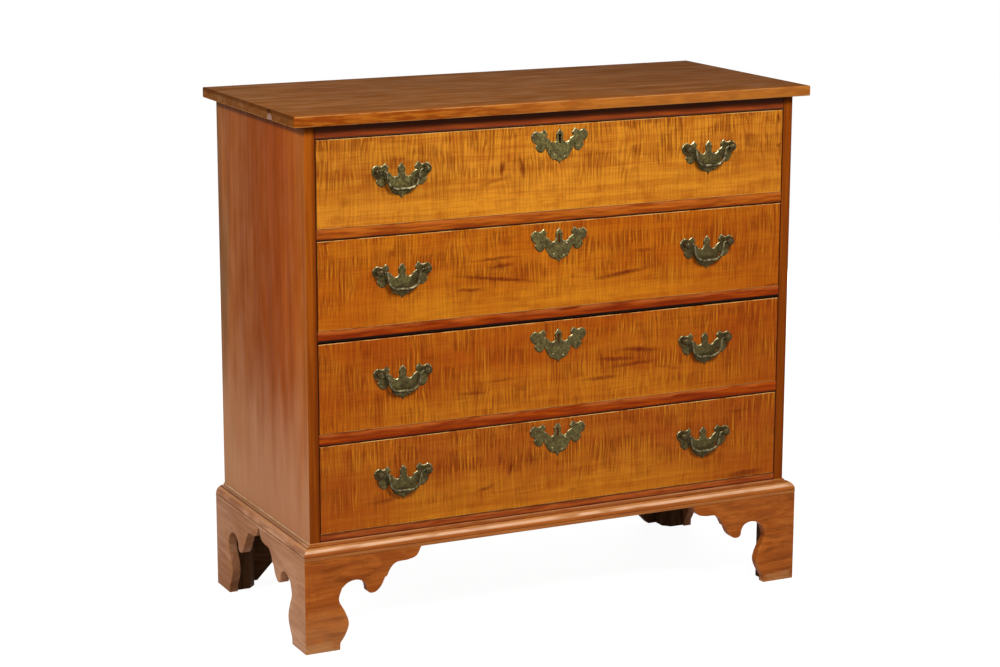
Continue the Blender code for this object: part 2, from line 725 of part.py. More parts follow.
def post_profile():
    """(along Y from the drawer's face, radius) of a post: head, neck, shank and nut in one."""
    head = -HEAD_STANDOFF
    in_plate = -TOUCH - PLATE_THICKNESS / 2
    nut = FRONT_THICKNESS + TOUCH
    end = FRONT_THICKNESS + SHANK_END
    profile = [(head - HEAD_RADIUS, 0.0)]
    for degrees in (45, 90, 133):
        angle = math.radians(degrees)
        profile.append((head - HEAD_RADIUS * math.cos(angle), HEAD_RADIUS * math.sin(angle)))
    profile += [(head + HEAD_RADIUS, NECK_RADIUS), (in_plate, NECK_RADIUS), (in_plate, SHANK_RADIUS)]
    profile += [(nut, SHANK_RADIUS), (nut, NUT_RADIUS), (nut + NUT_THICKNESS, NUT_RADIUS)]
    profile += [(nut + NUT_THICKNESS, SHANK_RADIUS), (end, SHANK_RADIUS), (end, 0.0)]
    return profile


def bail_corners():
    """(x, z) corners of the bail's right half, each with the radius it is rounded by."""
    pin_end = POST_SPACING / 2 - HEAD_RADIUS + BAIL_PIN_DEPTH
    half = [((pin_end, 0.0), 0.0), ((BAIL_TOP_HALF_WIDTH, 0.0), BAIL_TOP_ROUND)]
    return half + [((BAIL_BOTTOM_HALF_WIDTH, -BAIL_DROP), BAIL_BOTTOM_ROUND)]


def rounded_half(corners, steps):
    """Points along the half bail, with each corner turned into an arc, ending at x = 0."""
    line = [Vector(place) for place, _ in corners] + [Vector((0.0, corners[-1][0][1]))]
    made = [line[0]]
    for i in range(1, len(line) - 1):
        before = (line[i - 1] - line[i]).normalized()
        after = (line[i + 1] - line[i]).normalized()
        turn = before.angle(after)
        radius = corners[i][1]
        reach = radius / math.tan(turn / 2)
        middle = line[i] + (before + after).normalized() * radius / math.sin(turn / 2)
        start = (line[i] + before * reach - middle).normalized()
        end = (line[i] + after * reach - middle).normalized()
        for k in range(steps + 1):
            made.append(middle + start.slerp(end, k / steps) * radius)
    return made + [line[-1]]


def bail_radius(x, z):
    """The bar is thin at its pins and thickest at the middle of the grip."""
    if z > -BAIL_PIN_RADIUS:
        return BAIL_PIN_RADIUS
    down = min(1.0, -z / BAIL_DROP)
    inward = 1 - min(1.0, abs(x) / BAIL_TOP_HALF_WIDTH)
    return BAIL_SHOULDER_RADIUS + (BAIL_GRIP_RADIUS - BAIL_SHOULDER_RADIUS) * (down + inward) / 2


def bail(name, centre):
    """The bail as a round bar bent in the XZ plane through its hinge axis."""
    x, y, z = centre
    half = rounded_half(bail_corners(), BAIL_CORNER_STEPS)
    path = half + [Vector((-point.x, point.y)) for point in reversed(half[:-1])]
    rings = []
    for i, point in enumerate(path):
        ahead = path[min(i + 1, len(path) - 1)] - path[max(i - 1, 0)]
        side = Vector((-ahead.y, ahead.x)).normalized()
        radius = bail_radius(point.x, point.y)
        ring = []
        for k in range(BAIL_SIDES):
            angle = 2 * math.pi * k / BAIL_SIDES
            flat = point + side * radius * math.cos(angle)
            ring.append((x + flat.x, y + radius * math.sin(angle), z + flat.y))
        rings.append(ring)
    return loft(name, rings)


def build_pull(number, side_name, side, holder, looks):
    """A batwing plate with its two posts, and the bail that swings between them."""
    x, z = pull_centre(number, side)
    name = f"drawer_{number + 1}_{side_name}_pull_plate"
    item = finish(name, plate(name, x, z), looks["brass"], holder)
    bail_holes = []
    for i, (post_x, post_z) in enumerate(post_places(number, side)):
        post = turned("post", post_profile(), (post_x, FACE, post_z), POST_SIDES)
        join(item, f"{name}_post_{i + 1}", post)
        inward = 1 if post_x < x else -1
        mouth = post_x + inward * (HEAD_RADIUS + CUT_PAST)
        end = post_x + inward * (HEAD_RADIUS - BAIL_PIN_DEPTH - BAIL_HOLE_CLEARANCE)
        radius = BAIL_PIN_RADIUS + BAIL_HOLE_CLEARANCE
        ring = circle((FACE - HEAD_STANDOFF, post_z), radius, 8)
        bail_holes.append((ring, "X", *sorted((mouth, end))))
    cut(item, f"{name}_bail_holes", prisms("holes", bail_holes))
    axis = (x, FACE - HEAD_STANDOFF, z + POST_RAISE)
    name = f"drawer_{number + 1}_{side_name}_bail"
    item = finish(name, bail(name, axis), looks["brass"], holder, axis)
    shade_round(item)


def build_escutcheon(number, holder, looks):
    name = f"drawer_{number + 1}_escutcheon"
    level = escutcheon_level(number)
    item = finish(name, plate(name, 0.0, level), looks["brass"], holder)
    hole = (keyhole(level), "Y", FACE - PLATE_THICKNESS - CUT_PAST, FACE + CUT_PAST)
    cut(item, f"{name}_keyhole", prisms("keyhole", [hole]))


def bolt_middle():
    return FRONT_INNER - LOCK_DEPTH / 2


def build_lock(sizes, holder, looks):
    """The till lock let into the back of the top drawer's front, and its rising bolt."""
    half = LOCK_WIDTH / 2
    depth = (FRONT_INNER - LOCK_DEPTH, FRONT_INNER)
    levels = (sizes["top"] - LOCK_HEIGHT, sizes["top"])
    item = finish("drawer_1_lock_case", box("lock", (-half, half), depth, levels), looks["iron"], holder)
    half = BOLT_WIDTH / 2
    y_half = BOLT_THICKNESS / 2
    bolt_top = sizes["top"] - BOLT_BELOW_TOP
    bolt_low = bolt_top - BOLT_LENGTH
    slot_x = (-half - TOUCH, half + TOUCH)
    slot_y = (bolt_middle() - y_half - TOUCH, bolt_middle() + y_half + TOUCH)
    slot_z = (bolt_low - TOUCH, sizes["top"] + CUT_PAST)
    cut(item, "drawer_1_lock_slot", box("slot", slot_x, slot_y, slot_z))
    keyway = (keyhole(escutcheon_level(0)), "Y", depth[0] - CUT_PAST, depth[0] + KEYWAY_DEPTH)
    cut(item, "drawer_1_lock_keyway", prisms("keyway", [keyway]))
    bolt_y = (bolt_middle() - y_half, bolt_middle() + y_half)
    bolt = box("bolt", (-half, half), bolt_y, (bolt_low, bolt_top))
    finish("drawer_1_lock_bolt", bolt, looks["iron"], holder, (0.0, bolt_middle(), bolt_low))


def build_drawers(looks):
    for number in range(len(DRAWER_HEIGHTS)):
        sizes = drawer_sizes(number)
        middle = (sizes["floor"] + sizes["top"]) / 2
        holder = empty(f"drawer_{number + 1}_slide", (0.0, FACE, middle))
        build_front(number, sizes, holder, looks)
        build_lining(number, sizes, holder, looks)
        for side_name, side in (("left", -1), ("right", 1)):
            build_pull(number, side_name, side, holder, looks)
        build_escutcheon(number, holder, looks)
        if number == 0:
            build_lock(sizes, holder, looks)


def make_looks():
    return {
        "top": material("top_wood", (0.235, 0.080, 0.027), 0.42),
        "case": material("case_wood", (0.330, 0.125, 0.030), 0.40),
        "rail": material("rail_wood", (0.333, 0.053, 0.006), 0.42),
        "base": material("base_wood", (0.320, 0.073, 0.015), 0.42),
        "figured": material("figured_wood", (0.510, 0.150, 0.018), 0.35),
        "poplar": material("drawer_lining_wood", (0.520, 0.330, 0.150), 0.65),
        "pine": material("back_and_bottom_wood", (0.400, 0.220, 0.090), 0.70),
        "brass": material("aged_brass", (0.230, 0.190, 0.095), 0.38, 1.0),
        "iron": material("dark_iron", (0.060, 0.055, 0.050), 0.55, 1.0),
    }


def main():
    clear_scene()
    looks = make_looks()
    case = empty("chest", (0.0, 0.0, 0.0))
    build_top(case, looks)
    build_sides(case, looks)
    build_bottom_and_back(case, looks)
    build_frames(case, looks)
    build_mouldings(case, looks)
    build_feet(case, looks)
    build_drawers(looks)


if __name__ == "__main__":
    main()
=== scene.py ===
"""Looks of a four-drawer chest in figured maple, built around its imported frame.

Metres, +Z up, in the frame's own coordinates: the front faces -Y and the drawers pull out along -Y.
"""

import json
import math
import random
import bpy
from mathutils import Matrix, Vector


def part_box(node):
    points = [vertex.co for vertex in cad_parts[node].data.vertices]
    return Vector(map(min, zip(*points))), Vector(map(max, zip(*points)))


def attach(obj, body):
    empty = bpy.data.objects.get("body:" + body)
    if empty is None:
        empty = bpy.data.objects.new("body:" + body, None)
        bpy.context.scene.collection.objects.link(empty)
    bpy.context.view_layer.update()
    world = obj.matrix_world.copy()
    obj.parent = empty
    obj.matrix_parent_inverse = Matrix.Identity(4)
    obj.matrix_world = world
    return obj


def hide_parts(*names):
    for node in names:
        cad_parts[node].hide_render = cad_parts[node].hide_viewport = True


bl_info = {
    "name": "Bracket-foot chest of drawers",
    "version": (1, 0, 0),
    "blender": (4, 5, 0),
    "location": "3D View > Sidebar > Chest",
    "description": "Four-drawer chest in curled maple with cast brass pulls, around its packed frame",
    "category": "Object",
}

import bmesh
import bpy
from bpy.props import FloatProperty, FloatVectorProperty, IntProperty, PointerProperty
from mathutils import Matrix, Vector, noise

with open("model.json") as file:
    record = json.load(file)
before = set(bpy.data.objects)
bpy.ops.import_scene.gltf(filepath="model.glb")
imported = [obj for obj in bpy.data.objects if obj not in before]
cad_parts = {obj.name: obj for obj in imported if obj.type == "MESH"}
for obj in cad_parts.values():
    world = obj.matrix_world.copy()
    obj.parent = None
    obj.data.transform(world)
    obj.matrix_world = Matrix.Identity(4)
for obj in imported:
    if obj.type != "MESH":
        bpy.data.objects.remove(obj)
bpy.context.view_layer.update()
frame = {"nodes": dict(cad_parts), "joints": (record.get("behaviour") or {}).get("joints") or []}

MM = 0.001
SAME = 1e-5  # metres: places closer than this count as one
WELD = 1e-6  # metres: points of a CAD mesh closer than this are joined
FLAT = math.radians(0.5)  # neighbours in a CAD mesh that turn by less than this become one face
SHARP = 0.45  # radians: outer edges that turn by more than this are eased
DRAWERS = (1, 2, 3, 4)
SIDES = (("left", -1), ("right", 1))

# Places that the frame gives
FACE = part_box("drawer_1_front")[0].y
FRONT_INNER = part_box("drawer_1_front")[1].y
HALF_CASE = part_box("right_side")[1].x
CASE_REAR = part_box("right_side")[1].y
CASE_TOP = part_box("right_side")[1].z
TOP_LOW, TOP_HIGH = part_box("top_board")
MOULDING_LOW, MOULDING_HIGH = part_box("front_moulding")
FOOT_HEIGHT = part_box("front_left_foot")[1].z
JOINT_PLACES = {joint["child"]: Vector(joint.get("pos_m", (0, 0, 0))) for joint in frame["joints"]}

# Outline of the scrolled bracket in millimetres, as (out from the corner, up from the floor). Each stretch is
# a smooth curve, and stretches meet at sharp corners.
SCROLL_SIZE = (218.5, 166.1)
SCROLL_STRETCHES = (
    ((64.0, 0.0), (64.6, 12.5)),
    ((64.6, 12.5), (74.5, 27.0), (80.8, 46.5), (74.0, 68.0), (63.0, 90.0), (68.5, 110.5)),
    ((68.5, 110.5), (80.0, 119.5), (94.6, 122.6), (107.5, 118.8), (114.0, 110.5), (116.2, 99.0)),
    ((116.2, 99.0), (121.5, 95.2), (131.4, 95.9), (142.0, 105.0), (149.4, 119.6)),
    ((149.4, 119.6), (153.3, 121.7)),
    ((153.3, 121.7), (160.7, 135.3), (172.0, 144.0), (193.3, 145.6), (209.5, 150.8), (218.5, 166.1)),
)

# Right half of the batwing plate in millimetres, from its top point to its bottom point
PLATE_STRETCHES = (
    ((0.0, 26.5), (4.8, 21.5), (7.0, 16.5), (6.2, 9.0)),
    ((6.2, 9.0), (8.4, 4.6), (13.0, 3.0), (17.4, 5.2), (20.4, 9.4)),
    ((20.4, 9.4), (26.8, 13.2)),
    ((26.8, 13.2), (24.2, 19.0), (30.0, 27.0)),
    ((30.0, 27.0), (37.5, 22.0), (46.0, 24.5)),
    ((46.0, 24.5), (52.0, 21.5), (55.5, 16.0)),
    ((55.5, 16.0), (53.0, 7.0), (45.5, 2.0)),
    ((45.5, 2.0), (46.6, -5.5), (38.5, -13.2), (31.0, -11.6), (27.5, -5.5)),
    ((27.5, -5.5), (23.6, -13.0), (16.5, -24.0), (6.5, -28.5)),
    ((6.5, -28.5), (2.6, -30.5), (0.0, -35.0)),
)
PLATE_TIP = 35.0
ESCUTCHEON_PINS = ((-10.6, -18.5), (9.4, -22.0), (15.0, -0.5))

# Dark mineral streaks and blotches of each drawer front in millimetres:
# (x, height above the floor, length, thickness, tilt in degrees, strength)
FRONT_MARKS = {
    1: (
        (-110, 817, 15, 28, -12, 0.95), (-72, 816, 10, 48, 8, 0.90), (-128, 795, 70, 9, 14, 0.45),
        (-405, 779, 26, 20, 0, 0.40), (-395, 872, 110, 26, 0, 0.32), (-100, 868, 24, 10, 0, 0.35),
        (205, 850, 14, 34, 4, 0.45), (163, 862, 8, 30, 0, 0.40), (448, 822, 9, 9, 0, 0.85),
        (446, 872, 9, 20, 10, 0.95), (312, 817, 34, 6, 4, 1.0), (-330, 826, 320, 150, 0, 0.22),
    ),
    2: (
        (-125, 660, 90, 7, 2, 0.80), (-112, 646, 60, 9, 5, 0.80), (-118, 624, 180, 8, -8, 0.88),
        (-174, 609, 60, 8, -3, 0.80), (125, 613, 130, 9, 6, 0.95), (170, 652, 44, 7, 0, 0.60),
        (-440, 713, 26, 8, 0, 0.85), (30, 618, 12, 10, 0, 0.50), (440, 563, 40, 8, 0, 1.0),
        (140, 615, 32, 10, 6, 1.0),
    ),
    3: (
        (165, 471, 90, 11, -6, 0.95), (120, 458, 90, 10, -4, 0.85), (155, 446, 110, 8, 2, 0.80),
        (85, 426, 90, 9, 0, 0.75), (-165, 425, 60, 8, -4, 0.65), (-112, 443, 70, 7, 2, 0.50),
        (-75, 425, 30, 12, -20, 0.42), (225, 432, 60, 8, -12, 0.45), (-80, 400, 90, 8, -2, 0.32),
    ),
    4: (
        (-330, 252, 90, 9, 3, 0.55), (-140, 250, 40, 9, 14, 0.80), (-112, 300, 9, 28, 0, 0.80),
        (-92, 280, 9, 36, -10, 0.90), (-52, 292, 10, 30, -8, 0.70), (390, 213, 90, 14, 3, 0.85),
        (32, 226, 22, 6, 0, 0.45), (372, 334, 60, 7, 0, 0.45), (110, 300, 10, 24, 0, 0.40),
    ),
}
# Of each front: how far down the strong curl reaches, as a share of its height, how strong it is, and how red
# the front's two ends are
CURLS = {1: (0.62, 0.72, 0.14), 2: (0.75, 0.62, 0.34), 3: (0.95, 0.60, 0.56), 4: (0.70, 0.68, 0.50)}


def linear(hex_colour):
    """An sRGB hex colour as linear red, green and blue."""
    parts = [int(hex_colour[i:i + 2], 16) / 255 for i in (0, 2, 4)]
    return tuple(c / 12.92 if c <= 0.04045 else ((c + 0.055) / 1.055) ** 2.4 for c in parts)


def colour(name, hex_colour, description):
    return FloatVectorProperty(
        name=name, description=description, default=linear(hex_colour), subtype="COLOR", min=0, max=1)


def size(name, metres, description):
    return FloatProperty(name=name, description=description, default=metres, unit="LENGTH", min=0)


class ChestWoods(bpy.types.PropertyGroup):
    """Colours of the woods and the sizes of their figure."""
    front_1: colour("Top front", "DF8F28", "Curled maple of the top drawer's front")
    front_2: colour("Second front", "C1660C", "Curled maple of the second drawer's front")
    front_3: colour("Third front", "B1550A", "Curled maple of the third drawer's front")
    front_4: colour("Bottom front", "B05C14", "Curled maple of the bottom drawer's front")
    front_dark: colour("Curl, dark", "702A04", "Stripes and mineral streaks of the fronts")
    front_light: colour("Curl, light", "DC8E1E", "Lit bars between the stripes")
    front_red: colour("Front, red", "A04408", "Redder bands of the fronts")
    stile_light: colour("Stile, light", "A45210", "Lighter streaks of the case's front edges")
    stile_dark: colour("Stile, dark", "682808", "Darker streaks of the case's front edges")
    side_dark: colour("Side, dark", "6E2C0C", "Darker streaks of the case sides")
    side_light: colour("Side, light", "B87038", "Lighter streaks of the case sides")
    top_light: colour("Top, light", "905A2E", "Lighter grain of the top board")
    top_dark: colour("Top, dark", "663814", "Darker grain of the top board")
    rail_light: colour("Rails, light", "B64E06", "Lighter grain of the rails")
    rail_dark: colour("Rails, dark", "6E1A02", "Darker grain of the rails")
    base_light: colour("Base, light", "BC6826", "Lighter grain of the front mouldings and brackets")
    base_dark: colour("Base, dark", "8A3E12", "Darker grain of the front mouldings and brackets")
    flank_light: colour("Flank, light", "CE9874", "Lighter grain of the side mouldings and brackets")
    flank_dark: colour("Flank, dark", "98603E", "Darker grain of the side mouldings and brackets")
    lining_light: colour("Lining, light", "CDAA76", "Pale poplar of the drawer linings")
    lining_dark: colour("Lining, dark", "A0804E", "Greenish heart of the poplar")
    pine_light: colour("Pine, light", "A67A4A", "Oxidised pine of the back and the bottom")
    pine_dark: colour("Pine, dark", "6E4A28", "Late wood of the pine")
    block_light: colour("Blocks, light", "6A4628", "Dark, dirty pine of the blocks behind the brackets")
    block_dark: colour("Blocks, dark", "382010", "Late wood of the blocks")
    broken_light: colour("Chip, light", "D4AC9A", "Bare wood in the top's chip")
    broken_dark: colour("Chip, dark", "5C3220", "Dirt in the top's chip")
    # Worn is also the colour of the painted highlight on the up-facing strips of the moulding's round, and of
    # the painted light thrown up from the floor on the lower arrises of the top's ends
    worn: colour("Worn arris", "B87A40", "Wood where an arris is rubbed")
    worn_front: colour("Worn arris, fronts", "DCA862", "Bare maple along the fronts' upper and lower edges")
    # Grime is also the colour of painted shade: in the gaps round the drawers, in the moulding's creases,
    # behind the keyholes and under the top's overhang
    grime_and_shade: colour("Grime", "34180A", "Old wax and dirt in the corners")
    curl_spacing: size("Curl spacing", 7.0 * MM, "From one dark stripe of the curl to the next")
    arris: size("Arris", 0.9 * MM, "Width of the rubbed edge on drawer fronts, rails and sides")
    top_arris: size("Top arris", 1.6 * MM, "Width of the rubbed edge of the top board")


class ChestBrass(bpy.types.PropertyGroup):
    """Colours and sizes of the brass and the iron."""
    patina: colour("Patina", "6C6136", "Dull green-brown skin of the cast brass")
    patina_dark: colour("Patina, dark", "463A22", "Brown tarnish in the hollows")
    handled: colour("Handled brass", "302818", "Dark, greasy skin of the posts and bails")
    # Rubbed brass is also the colour of the painted highlights on the plates' upper bevels and along the
    # bails' fronts
    rubbed: colour("Rubbed brass", "CEC496", "Metal where the skin is rubbed off")
    iron: colour("Iron", "3A3632", "Lock, screws and nails")
    plate_bevel: size("Plate bevel", 1.2 * MM, "Width of the filed edge of the plates")
    head_radius: size("Post head", 7.5 * MM, "Radius of the ball on a post")
    head_standoff: size("Head standoff", 9.5 * MM, "From the drawer's face to the middle of the ball")
    post_spacing: size("Post spacing", 88.2 * MM, "Boring of the pull")
    post_raise: size("Post raise", 14.5 * MM, "Posts above the middle of the plate")
    round_sides: IntProperty(name="Round sides", description="Sides of turned pieces", default=24, min=8)


class ChestStudio(bpy.types.PropertyGroup):
    """Camera, lamps and floor."""
    camera_place: FloatVectorProperty(
        name="Camera", description="Where the camera stands", default=(-2.00556, -4.05534, 1.48875),
        subtype="TRANSLATION")
    camera_yaw: FloatProperty(name="Yaw", description="Turn to the right", default=0.45637, subtype="ANGLE")
    camera_pitch: FloatProperty(name="Pitch", description="Turn down", default=0.22051, subtype="ANGLE")
    camera_roll: FloatProperty(name="Roll", description="Tilt to one side", default=0.00234, subtype="ANGLE")
    lens: FloatProperty(name="Lens", description="Focal length in millimetres", default=90.88, min=10)
    key_power: FloatProperty(name="Key", description="Watts of the front softbox", default=84.0, min=0)
    side_power: FloatProperty(name="Side", description="Watts of the left softbox", default=50.0, min=0)
    rear_power: FloatProperty(name="Rear", description="Watts of the softbox behind", default=70.0, min=0)
    sky: FloatProperty(name="Sky", description="Strength of the light from all round", default=0.30, min=0)
    floor: colour("Floor", "B4B2AE", "Seamless paper, as it throws light back")


WOODS = None
BRASS = None


# Shader tools

def add(tree, kind, inputs=None, out=0, stops=None, **settings):
    """Adds a shader node with its settings and links, and returns one of its outputs."""
    made = tree.nodes.new("ShaderNode" + kind)
    for name, value in settings.items():
        setattr(made, name, value)
    for i, (place, value) in enumerate(stops or ()):
        element = made.color_ramp.elements[i] if i < 2 else made.color_ramp.elements.new(place)
        element.position = place
        element.color = rgba(value)
    for key, value in (inputs or {}).items():
        if isinstance(value, bpy.types.NodeSocket):
            tree.links.new(value, made.inputs[key])
        else:
            made.inputs[key].default_value = value
    return made.outputs[out] if made.outputs else made


def fresh(name):
    """A new material's node tree, cleared."""
    made = bpy.data.materials.new(name)
    made.use_nodes = True
    made.node_tree.nodes.clear()
    return made, made.node_tree


def rgba(value):
    """A colour with its alpha, from sRGB hex or from linear red, green and blue."""
    return (*(linear(value) if isinstance(value, str) else value), 1.0)


def streaks(tree, place, cell, low=0.36, high=0.64, detail=2.0):
    """A pattern from 0 to 1 whose blotches have this size in millimetres along X, Y and Z.

    The closer low and high are, the crisper its edges, and the further up they lie, the fewer its spots.
    """
    near = add(tree, "VectorMath", {0: place, 1: [1 / (c * MM) for c in cell]}, operation="MULTIPLY")
    cloud = add(tree, "TexNoise", {"Vector": near, "Scale": 1.0, "Detail": detail})
    return add(tree, "MapRange", {0: cloud, 1: low, 2: high}, interpolation_type="SMOOTHSTEP")


def strength(tree, masks):
    """The product of masks, each a socket, a number, or (socket, where it is 0, where it is 1)."""
    total = None
    for mask in masks:
        if isinstance(mask, tuple):
            value, none, whole = mask
            mask = add(tree, "MapRange", {0: value, 1: none, 2: whole}, interpolation_type="SMOOTHSTEP")
        total = add(tree, "Math", {0: total, 1: mask}, operation="MULTIPLY") if total is not None else mask
    return total


def coats(tree, paint, layers):
    """Colours laid over one another, each as (mask, mask, ..., colour), its masks as in strength."""
    for *masks, tint in layers:
        settings = {0: strength(tree, masks), 6: paint, 7: rgba(tint)}
        paint = add(tree, "Mix", settings, 2, data_type="RGBA")
    return paint


def object_parts(tree, kind="Object"):
    """A point's place in the frame's own coordinates, and its three parts. Generated ones run from 0 to 1."""
    place = add(tree, "TexCoord", out=kind)
    return place, add(tree, "SeparateXYZ", {0: place}).node.outputs


def board_space(tree, grain):
    """Coordinates in metres with X along the grain, moved so that no two boards match."""
    place, parts = object_parts(tree)
    if grain != "X":
        order = {"Y": (1, 0, 2), "Z": (2, 1, 0)}[grain]
        place = add(tree, "CombineXYZ", {i: parts[k] for i, k in enumerate(order)})
    number = add(tree, "ObjectInfo", out="Random")
    shift = add(tree, "CombineXYZ", {i: number for i in range(3)})
    return add(tree, "VectorMath", {0: shift, 1: (3.1, 1.7, 2.3), 2: place}, operation="MULTIPLY_ADD")


def wear_mark(tree):
    """How rubbed, or brightened by a painted highlight, a face is, up to 1, or how darkened by dirt and
    painted shade, down to -1, and that darkening alone from 0 to 1.
    """
    flagged = add(tree, "Attribute", attribute_name="wear", out="Fac")
    return flagged, add(tree, "Math", {0: flagged, 1: -1.0}, operation="MULTIPLY", use_clamp=True)


def arrises(tree, place, paint, worn):
    """Faces marked above 0 turn pale in patches, where rubbed and where the mark stands for a painted
    highlight; faces marked below 0 are darkened with dirt and painted shade.
    """
    flagged, dirt_and_shade = wear_mark(tree)
    patches = streaks(tree, place, (26, 9, 9), 0.30, 0.60, 3.0)
    # Pale where rubbed, and where the mark stands for a painted highlight
    bare = add(tree, "Math", {0: flagged, 1: patches}, operation="MULTIPLY", use_clamp=True)
    return coats(tree, paint, [(bare, 1.0, worn), (dirt_and_shade, 1.0, WOODS.grime_and_shade)])


def close_wood(made, tree, paint, height, rough, uneven, specular, relief):
    """Joins colour, roughness and relief into the surface of one wood.

    Old shellac and wax are thin and dull here, so they mirror less than new varnish: the specular level is
    far below its usual 0.5.
    """
    sheen = add(tree, "MapRange", {0: uneven, 3: rough - 0.05, 4: rough + 0.08})
    normal = add(tree, "Bump", {"Strength": relief, "Distance": 0.4 * MM, "Height": height}, out="Normal")
    settings = {"Base Color": paint, "Roughness": sheen, "Normal": normal, "Specular IOR Level": specular}
    add(tree, "OutputMaterial", {"Surface": add(tree, "BsdfPrincipled", settings)})
    return made


def timber(name, grain, tint, ring, fibre, rough, specular, relief, curl, more):
    """A wood from its growth bands, fibres and a little curl.

    ring and fibre are the widths in millimetres of the growth bands and of the fibres across the grain. Real
    fibres are about 0.1 mm wide and wouldn't show, so they are drawn at least ten times as coarse.
    """
    made, tree = fresh(name)
    light, dark = getattr(WOODS, tint + "_light"), getattr(WOODS, tint + "_dark")
    place = board_space(tree, grain)
    sway = streaks(tree, place, (240, 40, 40), 0.2, 0.8, 1.0)
    reach = ring * 2.5 * MM
    bent = add(tree, "VectorMath", {0: sway, 1: (0.0, reach, reach), 2: place}, operation="MULTIPLY_ADD")
    bands = streaks(tree, bent, (ring * 26, ring, ring), 0.38, 0.62, 3.0)
    fibres = streaks(tree, place, (fibre * 45, fibre, fibre), 0.36, 0.66)
    blotch = streaks(tree, place, (110, 30, 30), 0.34, 0.66)
    paint = coats(tree, rgba(light), [(bands, 0.52, dark), (blotch, 0.42, dark), (fibres, 0.30, dark)])
    if curl:
        bars = streaks(tree, place, (WOODS.curl_spacing / MM * 0.5, 26, 26), 0.46, 0.64, 1.5)
        zone = streaks(tree, place, (90, 60, 60), 0.42, 0.60, 1.0)
        paint = coats(tree, paint, [(bars, zone, curl, dark)])
    if more:
        paint = more(tree, place, paint)
    paint = arrises(tree, place, paint, WOODS.worn)
    height = add(tree, "Math", {0: fibres, 1: bands}, operation="ADD")
    return close_wood(made, tree, paint, height, rough, blotch, specular, relief)


# Materials

